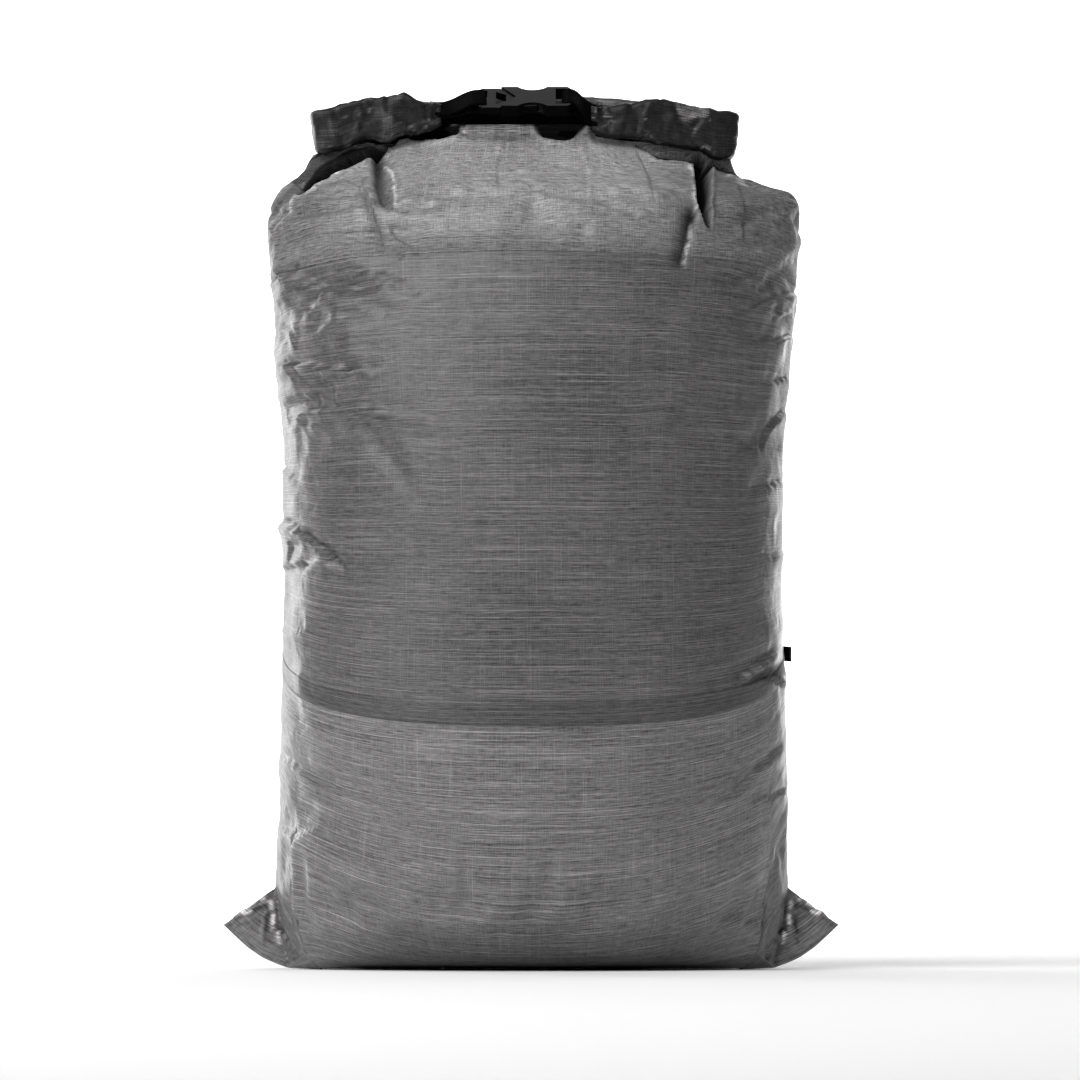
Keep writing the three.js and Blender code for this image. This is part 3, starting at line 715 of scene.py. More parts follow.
# Pockets seen from the front: a path of (x, z), half widths along it, depth, and lips on its right and left.
GROOVES = [
    ([(-70, 384), (-87.5, 375.2), (-100.7, 367.2), (-108, 360.6)], (2.2, 3.0, 2.6, 0.5), 6.0, (0.2, 1.3)),
    ([(79.5, 378), (80.2, 366), (80.2, 353), (82.4, 343)], (3.8, 3.0, 2.4, 0.6), 9.0, (0.5, 1.7)),
    ([(50, 385), (60, 379.6), (73, 378.6), (88.6, 373.6), (100, 368.6)], (1.0, 2.6, 2.8, 2.0, 0.5), 5.0,
     (1.0, 0.3)),
    ([(-31.5, 394.5), (-36, 391.8), (-54, 392)], (1.2, 4.2, 4.6), 3.0, (0.2, 0.9)),
    ([(1, 395.5), (7.5, 391.8), (14.7, 391.2), (25, 395)], (1.0, 4.4, 4.6, 1.6), 3.0, (0.9, 0.2)),
]

# Broad creased patches with a painted highlight: a path of (x, z), half widths along it, and how much lighter
# the painted highlight makes the film there.
PAINTED_HIGHLIGHTS = [
    ([(-119, 264), (-103, 269), (-84, 272), (-66, 274)], (16, 10, 5, 0.6), 1.8),
    ([(-108, 252), (-90, 257), (-60, 253)], (5, 3.5, 0.5), 1.0),
    ([(-117, 203), (-105, 196), (-85, 183.5)], (8, 8, 0.6), 1.9),
    ([(-122, 343), (-121, 330), (-119, 317)], (2.5, 5, 4), 1.3),
    ([(-121, 306), (-119, 292)], (4, 5), 0.8),
    ([(-105, 362), (-97, 364), (-86, 366)], (3, 3, 1), 0.4),
    ([(-68, 335), (-61, 331), (-56, 333)], (4, 5, 1), 0.35),
    ([(-32.4, 392.4), (-30.6, 389)], (0.9, 1.5), 2.2),
    ([(122, 309), (112, 303), (101, 302)], (4, 3, 0.5), 0.9),
    ([(121, 262), (116, 250)], (3, 4), 0.8),
    ([(119, 146), (108, 140), (96, 133)], (1.5, 1.5, 0.5), 0.7),
]

# Places where the fabric is in the shadow of a fold: a path of (x, z), half widths along it, how soft its
# edge is, and how dark it is.
SHADY = [
    ([(-70.5, 378), (-68, 366), (-66, 355), (-63.6, 350)], (1.2, 4, 3.6, 0.5), 2, 0.35),
    ([(70, 350), (68, 338), (67, 326)], (2, 3.5, 1), 3, 0.3),
    ([(-69, 387), (-86, 382), (-99, 375), (-110, 367)], (3.0, 6.0, 5.5, 1.5), 1, 0.6),
    ([(-70, 384.5), (-86, 377.8), (-99, 370.6), (-107.5, 363.6)], (2.8, 4.4, 3.8, 0.6), 1.6, 0.93),
    ([(-74, 388), (-92, 384), (-105.6, 376), (-113, 369)], (0.6, 0.8, 0.8, 0.3), 0.8, 0.9),
    ([(-79, 367), (-74, 352), (-68.5, 336)], (1.0, 3.0, 1.5), 4, 0.3),
    ([(70, 380), (88.6, 374), (103, 367.4)], (1.5, 2.6, 0.8), 1.2, 0.75),
    ([(-123, 352), (-118, 357), (-108, 364)], (1.0, 3.0, 2.5), 1.5, 0.35),
    ([(-113, 281), (-96, 277), (-76, 274.5)], (0.5, 1.2, 0.4), 1.2, 0.4),
    ([(-102, 255), (-80, 255), (-58, 251)], (0.4, 1.0, 0.3), 1.2, 0.35),
    ([(-117, 212), (-103, 201.5), (-85, 184)], (0.4, 0.9, 0.3), 1.0, 0.45),
    ([(118, 140), (107, 136), (97, 131)], (3.0, 2.4, 0.5), 1.5, 0.45),
]

# Crests of folds where the film turns and shines: paths of (x, z).
RIMS = [
    [(-69.8, 377), (-64.6, 370.4), (-62.9, 358), (-62.4, 350)],
    [(-84, 373.4), (-99.7, 363.6), (-109.6, 357.4), (-111.6, 352), (-119, 343.4)],
    [(71, 375.5), (75.6, 371), (75.9, 358), (77.2, 353), (75.4, 349.4)],
    [(-31.8, 392.5), (-31, 390)],
    [(88, 370), (103, 365)],
    [(74.6, 346), (73.6, 338), (71.2, 328), (69.2, 320)],
    [(-104, 362.6), (-110.5, 357.6), (-112, 351.8)],
    [(-112, 282.5), (-98, 279), (-84, 276.5)],
    [(-112, 196), (-100, 190), (-86, 183)],
    [(118, 146.5), (106, 140.5), (96, 133)],
]

# Folds in the front of the ears, like FOLDS, for the right one. The left one has the same, mirrored.
EAR_FOLDS = [
    ([(142, 20.4), (135.7, 27), (122.8, 31.4), (119, 33.5)], (-0.9, 0.9), (0.7, 1.6)),
    ([(121.6, 32.7), (120.4, 26), (120.6, 18), (117.5, 11)], (1.5, 1.1), (-0.9, 1.4)),
    ([(119.6, 21), (113, 12.3), (110, 9.6), (110.2, 3)], (-1.3, 1.0), (0.9, 1.8)),
    ([(124, 29.4), (125.4, 20), (126.5, 8)], (1.1, 2.0), (-0.8, 1.8)),
    ([(138, 20), (131, 22), (126, 20)], (0.7, 1.4), (-0.6, 1.4)),
    ([(133, 14), (129, 16), (126, 13)], (0.6, 1.2), (-0.5, 1.4)),
    ([(136, 25), (130, 25.5), (127, 28)], (0.5, 1.2), (-0.5, 1.2)),
]

# Where the ears' creases shine: paths of (x, z).
EAR_RIMS = [
    [(121.8, 32.5), (120.3, 26), (120.5, 18)],
    [(118.4, 18), (117, 11)],
    [(135, 25.5), (130, 27)],
    [(139, 24.4), (128, 31.4), (123, 33.4)],
]

# Where painted shade darkens the fabric along the ears' pinched creases: paths of (x, z).
EAR_SHADED_CREASES = [
    [(119.6, 21), (113, 12.3), (110, 9.6), (110.2, 2.5)],
    [(142.5, 19), (135.7, 25.6), (123.4, 30)],
    [(123.6, 32), (123.4, 22), (125.5, 9)],
]


def dart(x, z, path, depth, widths):
    """Height of a fold that is deepest at the roll and runs out at its tip, and how much painted shade each
    point has.
    """
    signed, share = path_distance(x, z, path)
    taper = (1 - 0.45 * share) * smoothstep(1 - share, 0, 0.25)
    away = np.sqrt(signed**2 + 0.25) - 0.5
    side = smoothstep(signed, -0.4, 0.4)
    width = widths[0] * side + widths[1] * (1 - side)
    darkness = taper * np.exp(-((away / (0.9 * width)) ** 2))
    return -depth * taper * np.exp(-away / width), darkness


def relief(x, z, gathered):
    """Height and shade that the folds give the fabric at points seen from the front; the shade is painted
    light and shade, with painted highlights on the creased patches. Gathered fabric also has the darts, the
    pockets, the shadows and the shining crests, which the roll's folded ends pull in: painted shade in the
    darts, the pockets and the shadows, and painted highlights on the crests."""
    height, shade = np.zeros(x.shape), np.zeros(x.shape)
    for path, right, left in FOLDS:
        height += fold(x, z, path, right, left)
    for path, depth, widths in DARTS if gathered else []:
        step, inside = dart(x, z, path, depth, widths)
        height += step
        # Painted shade inside the darts.
        shade = np.maximum(shade, 0.9 * inside)
    for path, half_widths, depth, rims in GROOVES if gathered else []:
        step, inside = groove(x, z, path, half_widths, depth, rims)
        height += step
        # Painted shade inside the pockets.
        shade = np.maximum(shade, 0.97 * inside)
    calmer = 1 - 0.75 * smoothstep(np.abs(x), 108, 119)
    for path, half_widths, amount in PAINTED_HIGHLIGHTS:
        _, inside = groove(x, z, path, half_widths, 0, (0, 0), wall=1.8)
        height += inside * (0.7 + amount) * crumple(x, z, (17, 8), 41, 2) * calmer
        # Painted highlight on the creased patches.
        shade -= amount * inside * (0.55 + 0.6 * lattice_noise(x, z, (6, 4), 43))
    for path, half_widths, softness, darkness in SHADY if gathered else []:
        _, inside = groove(x, z, path, half_widths, 0, (0, 0), wall=softness)
        shade = np.maximum(shade, darkness * inside)
    # Painted highlights along the crests of the folds.
    shine = gathered * sum(gleam(x, z, path) for path in RIMS)
    return height + 0.5 * shine, shade - 1.6 * shine


def gleam(x, z, path, width=GLEAM_WIDTH):
    """How near each point is to a crest, from 0 to 1, with ragged breaks along it."""
    signed, share = path_distance(x, z, path)
    ragged = smoothstep(lattice_noise(x, z, (2.2, 2.2), 91), -0.7, 0.2)
    ends = smoothstep(share, 0, 0.12) * smoothstep(1 - share, 0, 0.12)
    return np.exp(-((signed / width) ** 2)) * ragged * ends


def veins(u, v, cell, seed, width=VEIN_WIDTH):
    """Thin crease lines that wander over a surface, 1 on a line and 0 away from it."""
    bent = u + 0.3 * cell[0] * lattice_noise(u, v, (cell[0] * 0.6, cell[1] * 0.6), seed + 5)
    lines = np.exp(-((lattice_noise(bent, v, cell, seed) / width) ** 2))
    return lines * smoothstep(lattice_noise(u, v, (cell[0] * 1.7, cell[1] * 1.7), seed + 9), -0.1, 0.5)


def film_creases(girth, rises):
    """Height of fine random creases all over the film, deeper near the side seams and below the roll, and
    where their thin bright lines are: partly film whitened at the creases, partly painted highlights."""
    u, v = np.meshgrid(girth, rises)
    from_seam = HALF_GIRTH / 2 - np.abs(u % HALF_GIRTH - HALF_GIRTH / 2)
    near_seam = 1 - smoothstep(from_seam, 12, 75)
    near_top = smoothstep(v, rises[-1] - 90, rises[-1] - 12)
    near_floor = 1 - smoothstep(v, 70, 150)
    wide = crumple(u, v, (78, 46), 11, 3)
    fine = crumple(u, v, (26, 13), 23, 2)
    upright = crumple(u, v, (17, 60), 37, 2)
    total = wide * (0.3 + 1.3 * near_seam + 0.25 * near_floor) + fine * (0.05 + 0.5 * near_seam)
    lines = veins(u, v, (24, 11), 61) * near_seam * smoothstep(v, 130, 190)
    lines = lines + veins(u, v, (8, 18), 67) * near_top
    return total + upright * (0.03 + 0.5 * near_top) + 0.25 * lines, lines


def settling(points, normals):
    """How far out each point of the filled bag's cloth comes to rest. A coarse copy with a little spare
    cloth is blown up, held where it is sewn or stands, and its overall swelling is taken off again."""
    rows = np.linspace(0, points.shape[0] - 1, SIM_ROWS).round().astype(int)
    front = np.arange(0, FRONT_STEPS, FRONT_STEPS // SIM_COLUMNS)
    back = FRONT_STEPS + np.arange(0, BACK_STEPS, BACK_STEPS // SIM_COLUMNS)
    columns = np.concatenate([front, back])
    coarse, out = points[np.ix_(rows, columns)], normals[np.ix_(rows, columns)]
    x, z = coarse[:, :, 0], coarse[:, :, 2]
    held = np.maximum(1 - smoothstep(z, 3, 25), smoothstep(z, 352, 370))
    held = np.maximum(held, smoothstep(np.abs(x), 112, 116) * (1 - smoothstep(z, 40, 60)))
    faces = grid_faces(len(rows), len(columns), wrap=True)
    piece = add_mesh("settling", coarse.reshape(-1, 3), faces)
    group = piece.vertex_groups.new(name="held")
    for index, weight in enumerate(held.ravel()):
        group.add([index], float(weight), "REPLACE")
    cloth_settings(piece.modifiers.new("settling", "CLOTH").settings)
    piece.modifiers["settling"].settings.effector_weights.gravity = 0
    scene = bpy.context.scene
    first = scene.frame_current
    for step in range(1, SIM_FRAMES + 1):
        scene.frame_set(step)
    mesh = piece.evaluated_get(bpy.context.evaluated_depsgraph_get()).data
    settled = np.empty(len(mesh.vertices) * 3)
    mesh.vertices.foreach_get("co", settled)
    scene.frame_set(first)
    bpy.data.objects.remove(piece, do_unlink=True)
    outward = ((settled.reshape(coarse.shape) / MM - coarse) * out).sum(axis=2)
    rest = outward - swelling(outward)
    rest = np.clip(rest, -SIM_CAP, SIM_CAP) * (1 - held)
    rest = np.concatenate([rest, rest[:, :1]], axis=1)[:, :, None]
    stops = [*columns, points.shape[1] - 1]
    across = np.interp(np.arange(points.shape[1]), stops, np.arange(len(stops)))
    up = np.interp(np.arange(points.shape[0]), rows, np.arange(len(rows)))
    return resample(resample(rest, up, 0), across, 1)[:, :, 0]


def cloth_settings(settings):
    """Thin, stiff film with a little air pressure in it."""
    settings.quality = 6
    settings.mass = 0.12
    settings.tension_stiffness = 40
    settings.compression_stiffness = 40
    settings.shear_stiffness = 12
    settings.bending_stiffness = 0.2
    settings.vertex_group_mass = "held"
    settings.shrink_min = -0.035
    settings.use_pressure = True
    settings.uniform_pressure_force = 4


def swelling(outward):
    """The broad part of a displacement: its average over a few neighbours each way."""
    broad = outward.copy()
    for _ in range(8):
        wrapped = np.concatenate([broad[:, -1:], broad, broad[:, :1]], axis=1)
        broad = (wrapped[:, :-2] + wrapped[:, 1:-1] + wrapped[:, 2:]) / 3
        tall = np.concatenate([broad[:1], broad, broad[-1:]])
        broad = (tall[:-2] + tall[1:-1] + tall[2:]) / 3
    return broad


def press_under_flaps(points):
    """Moves the front fabric back where the ends of the roll lie against it."""
    x, y, z = points[:, :, 0], points[:, :, 1], points[:, :, 2]
    left = curve_through([(-x0, z0) for x0, z0 in LEFT_FLAP_BOTTOM], -x)
    right = curve_through(RIGHT_FLAP_BOTTOM, x)
    low = np.where(x < 0, left, right)
    covered = smoothstep(-x, 40, 44) + smoothstep(x, 26, 30)
    pressed = smoothstep(z, low - 6, low + 0.5) * covered * (y < 0)
    y += pressed * (np.maximum(y, FLAP_BACK) - y)


def sculpt(points):
    """Adds the folds to the bag's shell. Returns the points and their shade, which is painted light and
    shade.
    """
    normals = grid_normals(points, closed=True)
    x, z = points[:, :, 0], points[:, :, 2]
    columns = np.arange(points.shape[1])
    behind = np.clip(columns - FRONT_STEPS, 0, BACK_STEPS)
    past_seam = np.minimum(behind, BACK_STEPS - behind) * HALF_GIRTH / BACK_STEPS
    in_front = np.where(behind > 0, 1 - smoothstep(past_seam, 2, 22), 1.0)
    at_back = np.where(behind > 0, smoothstep(past_seam, 18, 34), 0.0)
    front_height, front_shade = relief(x, z, True)
    back_height, back_shade = relief(-x, z, False)
    creases, lines = film_creases(girth, rises)
    from_seam = np.minimum(girth % HALF_GIRTH, HALF_GIRTH - girth % HALF_GIRTH)
    calm = 0.4 + 0.6 * smoothstep(from_seam, 0, 24)
    height = front_height * in_front + back_height * at_back
    height = height + calm * (creases + settling(points, normals))
    closing = smoothstep(columns, columns[-1] - 12, columns[-1])
    height += closing * (height[:, :1] - height[:, -1:])
    height *= smoothstep(z, 0.6, 14) * (1 - smoothstep(z, 391, 395))
    into_ear = smoothstep(np.abs(x), 117, 124) * (1 - smoothstep(z, 36, 44))
    height *= 1 - into_ear
    low, high = box_mm("side_tab")
    at_tab = smoothstep(x, 111, 116) * (1 - smoothstep(np.abs(z - (low[2] + high[2]) / 2), 5, 12))
    height = height * (1 - 0.85 * at_tab) - 0.3 * at_tab
    points = points + normals * height[:, :, None]
    arch = (1 - smoothstep(np.abs(x), 84, 106)) * (1 - smoothstep(z, 6, 40))
    points[:, :, 2] += FLOOR_ARCH * arch * smoothstep(np.abs(points[:, :, 1]), 8, 30)
    press_under_flaps(points)
    # Painted shade low on the front, where the bottom curves under.
    painted_underside_shade = 0.32 * (1 - smoothstep(z, 4, 30)) * (1 - smoothstep(np.abs(x), 60, 100))
    # Painted shade on the collar towards its sides, which turn away from the light.
    painted_collar_side_shade = smoothstep(z, 325, 338) * (0.34 * smoothstep(x, 38, 98) + 0.3 * smoothstep(-x, 66, 112))
    past_collar_seam = rises[:, None] - seam_rises[1]
    seam_fade = 0.36 * (past_collar_seam > -4.2) * (1 - smoothstep(past_collar_seam, -4.2, 10))
    # Painted light on the collar's upper middle, which leans back towards the light from above.
    lit = 0.44 * smoothstep(z, 338, 368) * (1 - smoothstep(x, 30, 95)) * (1 - smoothstep(-x, 70, 105))
    # The thin crease lines make the film lighter: partly film whitened at its creases, partly painted
    # highlights.
    plain_shade = np.maximum(np.maximum(painted_underside_shade, painted_collar_side_shade), seam_fade) - 0.3 * lines - lit
    folded = front_shade * in_front + back_shade * at_back
    return points, 1 - (1 - plain_shade) * (1 - folded)


# ------------------------------------------------------------------ panels, tapes and ears

def resample(grid, places, axis):
    """The grid's values at fractional places along one axis, on a smooth curve through its samples."""
    count = grid.shape[axis]
    i = np.clip(np.floor(places).astype(int), 0, count - 2)
    t = (places - i).reshape((-1, 1, 1) if axis == 0 else (1, -1, 1))
    a, b, c, d = (np.take(grid, np.clip(i + k, 0, count - 1), axis) for k in (-1, 0, 1, 2))
    squared, cubed = 2 * a - 5 * b + 4 * c - d, 3 * b - a - 3 * c + d
    return 0.5 * (2 * b + (c - a) * t + squared * t**2 + cubed * t**3)


def shell_part(rows, columns, lift=0.0):
    """Points, fabric coordinates in metres and shade of part of the shell, moved outwards by lift."""
    part = resample(resample(shell, rows, 0), columns, 1)
    points = part[:, :, :3] + lift * part[:, :, 6:9]
    return points, part[:, :, 3:5] * MM, np.clip(part[:, :, 5], -2, 0.97)


def cloth(name, parts, material, slot, nodes, thickness=FILM_THICKNESS, keep=None):
    """A piece of fabric from (points, fabric coordinates, shade). keep says which faces stay, as a grid."""
    points, uvs, shade = parts
    faces = grid_faces(*points.shape[:2])
    if keep is not None:
        faces = faces[keep.ravel()]
    used, faces = np.unique(faces, return_inverse=True)
    verts, uvs, shade = points.reshape(-1, 3)[used], uvs.reshape(-1, 2)[used], shade.ravel()[used]
    piece = add_mesh(name, verts, faces.reshape(-1, 4), uvs, shade)
    dress(piece, material, slot, *nodes)
    thicken(piece, thickness)
    return piece


def joined(first, second):
    """Two parts of the shell side by side, which share a column."""
    return [np.concatenate([first[k], second[k][:, 1:]], axis=1) for k in range(3)]


def row_of(rise):
    return float(np.interp(rise, rises, np.arange(len(rises))))


def make_panels():
    columns = np.arange(len(girth))
    front, back = columns[:FRONT_STEPS + 1], columns[FRONT_STEPS:]
    girth_row, collar_row = (int(round(row_of(rise))) for rise in seam_rises[:2])
    low = np.arange(0, girth_row + 1)
    middle = np.arange(girth_row, collar_row + 1)
    high = np.arange(collar_row, len(rises))
    ear_row = int(row_of(EAR_PATCH_RISE))
    j, i = np.meshgrid(low[:-1], columns[:-1], indexing="ij")
    first, second = girth[i] % HALF_GIRTH, girth[i + 1] % HALF_GIRTH
    from_seam = np.min([first, second, HALF_GIRTH - first, HALF_GIRTH - second], axis=0)
    keep = (from_seam > EAR_PATCH_GIRTH - 0.01) | (j >= ear_row)
    course = shell_part(low, columns)
    pieces = [cloth("base_cloth", course, LOOK["base"], "body_fabric", ["base_panel"], keep=keep)]
    for side, part in (("front", front), ("back", back)):
        body = shell_part(middle, part)
        pieces.append(cloth(side + "_cloth", body, LOOK["body"], "body_fabric", [side + "_panel"]))
        top = shell_part(high, part)
        node = side + "_collar_panel"
        collar = cloth(side + "_collar_cloth", top, LOOK["collar"], "collar_fabric", [node])
        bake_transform(collar)
    for piece in pieces:
        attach(piece, "bag")


def make_ears():
    """The bottom corners, which bend away from the bag along the crease where each ear begins."""
    rows = np.arange(0, int(row_of(EAR_PATCH_RISE)) + 0.01, 0.5)
    last = len(girth) - 1
    reach = int(round(EAR_PATCH_GIRTH / HALF_GIRTH * FRONT_STEPS))
    reach_back = int(round(EAR_PATCH_GIRTH / HALF_GIRTH * BACK_STEPS))
    spans = {
        "left": [np.arange(last - reach_back, last + 0.01, 0.25), np.arange(0, reach + 0.01, 0.5)],
        "right": [np.arange(FRONT_STEPS - reach, FRONT_STEPS + 0.01, 0.5),
                  np.arange(FRONT_STEPS, FRONT_STEPS + reach_back + 0.01, 0.25)],
    }
    for side, (first, second) in spans.items():
        halves = [shell_part(rows, columns) for columns in (first, second)]
        points, uvs, shade = joined(*halves)
        normals = grid_normals(points)
        x, z = np.abs(points[:, :, 0]), points[:, :, 2]
        height = sum(fold(x, z, *entry) for entry in EAR_FOLDS)
        # Painted highlights along the shining crests of the ears' creases.
        shine = sum(gleam(x, z, path, 0.9) for path in EAR_RIMS)
        height = height + 0.3 * crumple(x, z, (9, 7), 83, 2) * smoothstep(x, 117, 122)
        # Painted shade along the ears' pinched creases.
        painted_crease_shade = sum(gleam(x, z, path, 1.3) for path in EAR_SHADED_CREASES)
        at_front = points[:, :, 1] < 0.5
        # Lighter crease lines: partly film whitened at its creases, partly painted highlights.
        crease_lines = veins(x, z, (6, 5), 87) * smoothstep(x, 117, 122)
        shade = shade - 0.4 * crease_lines + (0.55 * painted_crease_shade - 4.5 * shine) * at_front
        count = np.arange(points.shape[1])
        inside = smoothstep(np.minimum(count, count[::-1]), 0, 8)
        height = height * inside * smoothstep(np.arange(len(rows))[::-1], 0, 6)[:, None]
        points = points + normals * (height * at_front)[:, :, None]
        parts = (points, uvs, shade)
        piece = cloth(side + "_ear_cloth", parts, LOOK["base"], "body_fabric", [side + "_ear"])
        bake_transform(piece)


def make_tapes():
    columns = np.arange(0, len(girth), 0.5)[:-1]
    for name, middle, width, look, lift in (("girth", seam_rises[0], 11.0, "tape", 0.3),
                                            ("collar", seam_rises[1], 8.0, "collar", 0.25)):
        rows = np.linspace(row_of(middle - width / 2), row_of(middle + width / 2), 9)
        node = name + "_seam_tape"
        parts = shell_part(rows, columns, lift)
        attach(cloth(node + "_film", parts, LOOK[look], "seam_tape", [node], TAPE_THICKNESS), "bag")
    rows = np.arange(row_of(44), row_of(seam_rises[2] - 45))
    for side, middle in (("left", len(girth) - 1), ("right", FRONT_STEPS)):
        node = side + "_side_seam_tape"
        if side == "left":
            behind = shell_part(rows, np.arange(middle - 3, middle + 1), -0.9)
            parts = joined(behind, shell_part(rows, np.arange(0, 9), -0.9))
        else:
            parts = shell_part(rows, np.arange(middle - 8, middle + 4), -0.9)
        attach(cloth(node + "_film", parts, LOOK["tape"], "seam_tape", [node], TAPE_THICKNESS), "bag")
    low, high = box_mm("bottom_seam_tape")
    x, y = np.meshgrid(np.linspace(low[0], high[0], 60), np.linspace(low[1], high[1], 8))
    points = np.stack([x, y, np.full(x.shape, high[2])], axis=2)
    parts = (points, np.stack([x, y], axis=2) * MM, np.zeros(x.shape))
    node = "bottom_seam_tape"
    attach(cloth(node + "_film", parts, LOOK["tape"], "seam_tape", [node], 0.3), "bag")


# ------------------------------------------------------------------ rolled collar

FOLD_RADIUS = 5.6
LEFT_FOLD, RIGHT_FOLD = -92.4, 86.4
LEFT_END, RIGHT_END = box_mm("left_roll_end")[1][0], box_mm("right_roll_end")[0][0]
# The upper and lower edges of the folded ends and of the main length, as (x, z).
LEFT_FLAP_TOP = [(-42, 404.2), (-52.8, 405.6), (-60.7, 409.4), (-68.7, 408.2), (-79.4, 406.3), (-87, 404),
                 (-92, 402.4)]
LEFT_FLAP_BOTTOM = [(-42, 394), (-46, 391.6), (-59, 388.8), (-69, 386.2), (-77, 387), (-85.5, 383.6),
                    (-92.4, 381)]
RIGHT_FLAP_TOP = [(28, 402.8), (45.5, 404.2), (55, 405.6), (67.3, 405.1), (80.4, 402.5), (86.4, 401.4)]
RIGHT_FLAP_BOTTOM = [(28, 391.6), (31, 389.3), (50.3, 386.4), (64, 383.6), (81, 380.8), (86.4, 378.4)]
MAIN_TOP = [(-92.4, 401), (-60, 406.5), (-32, 406.5), (-20, 409.6), (18, 409.6), (30, 409), (50, 407),
            (70, 404), (86.4, 398.5)]
MAIN_BOTTOM = [(-92.4, 381.5), (-40, 384), (0, 384.5), (40, 383), (86.4, 379)]
ROLL_TURNS = 2.6
ROLL_SPACING = 0.2415  # from one layer to the next, as a share of the roll's half depth
ROLL_POINTS = 46  # in one turn
ROLL_GIRTH = 60.0  # of fabric in one turn, nearly
ROLL_LIP = 0.93  # where on the outline the sheet's outer end lies
ROLL_LEAN = 2.4  # how far back the top leans behind the buckle

# Folds in the folded ends, like FOLDS.
FLAP_FOLDS = [
    ([(-93.5, 401.4), (-88.8, 382)], (0.8, 1.6), (-0.6, 2.0)),
    ([(-84, 399), (-76, 392), (-68, 386)], (-0.8, 1.6), (0.7, 2.4)),
    ([(-59, 405.5), (-53, 401), (-46.7, 396.7)], (-0.8, 1.6), (0.7, 2.2)),
    ([(-68.7, 409), (-68, 400), (-58, 394), (-56, 389)], (1.5, 2.6), (-0.7, 1.8)),
    ([(-80, 406), (-78, 398), (-81, 391)], (0.7, 1.8), (-0.5, 2.0)),
    ([(-50, 405), (-50, 398), (-47, 392)], (0.6, 1.6), (-0.5, 2.0)),
    ([(46.2, 405), (44.6, 398), (42.8, 391)], (0.7, 1.4), (-0.5, 2.0)),
    ([(55.8, 406), (52, 397), (50.3, 389)], (-0.5, 2.0), (0.7, 1.6)),
    ([(81.8, 402), (80, 396), (76, 390)], (-0.7, 1.6), (0.6, 2.0)),
    ([(66, 405), (68, 398), (64, 390)], (0.5, 2.2), (-0.4, 2.0)),
    ([(90, 399), (87, 390), (88, 380)], (0.6, 1.6), (-0.5, 2.0)),
    ([(36, 404), (37, 396), (35, 389)], (0.5, 1.4), (-0.4, 1.8)),
]


def roll_stations():
    """The roll's middle line from the inner end of the left flap round to that of the right flap. Gives
    length, x, y, direction and the heights of the top and bottom edges at each station, and the lengths
    where the stretches end."""
    bend = math.pi * FOLD_RADIUS
    stretches = [LEFT_END - LEFT_FOLD, bend, RIGHT_FOLD - LEFT_FOLD, bend, RIGHT_FOLD - RIGHT_END]
    ends = np.concatenate([[0], np.cumsum(stretches)])
    s = np.linspace(0, ends[-1], int(ends[-1] / 1.15))
    knots_x = [LEFT_END, LEFT_FOLD, LEFT_FOLD, RIGHT_FOLD, RIGHT_FOLD, RIGHT_END]
    x = np.interp(s, ends, knots_x)
    y = np.interp(s, ends, [FLAP_Y, FLAP_Y, 0, 0, FLAP_Y, FLAP_Y])
    heading = np.full(s.shape, 0.0)
    bends = ((ends[1], ends[2], LEFT_FOLD, -1), (ends[3], ends[4], RIGHT_FOLD, 1))
    for start, end, fold_x, side in bends:
        inside = (s > start) & (s < end)
        turn = (s[inside] - start) / (end - start) * math.pi
        x[inside] = fold_x + side * FOLD_RADIUS * np.sin(turn)
        y[inside] = FLAP_Y / 2 + side * FOLD_RADIUS * np.cos(turn)
        heading[inside] = math.pi - turn if side < 0 else -turn
    heading[s <= ends[1]] = math.pi
    heading[s >= ends[4]] = -math.pi
    edges = []
    for left, main, right in ((LEFT_FLAP_TOP, MAIN_TOP, RIGHT_FLAP_TOP),
                              (LEFT_FLAP_BOTTOM, MAIN_BOTTOM, RIGHT_FLAP_BOTTOM)):
        knots = [(LEFT_END - px, pz) for px, pz in left]
        knots += [(ends[2] + px - LEFT_FOLD, pz) for px, pz in main]
        knots += [(ends[4] + RIGHT_FOLD - px, pz) for px, pz in right[::-1]]
        edges.append(curve_through(knots, s))
    return s, x, y, heading, edges[0], edges[1], ends


def stadium(turn, half_depth, half_height):
    """A point on an upright rounded slab's outline: front face up, over the top, and down the back."""
    t = turn % 1
    stops = [0, 0.36, 0.5, 0.86, 1]
    face = np.interp(t, stops, [-1, 1, 1, -1, -1])
    angle = np.interp(t, stops, [math.pi, math.pi, 0, 0, -math.pi])
    cap = 0.5 * half_depth
    return half_depth * np.cos(angle), (half_height - cap) * face + cap * np.sin(angle)


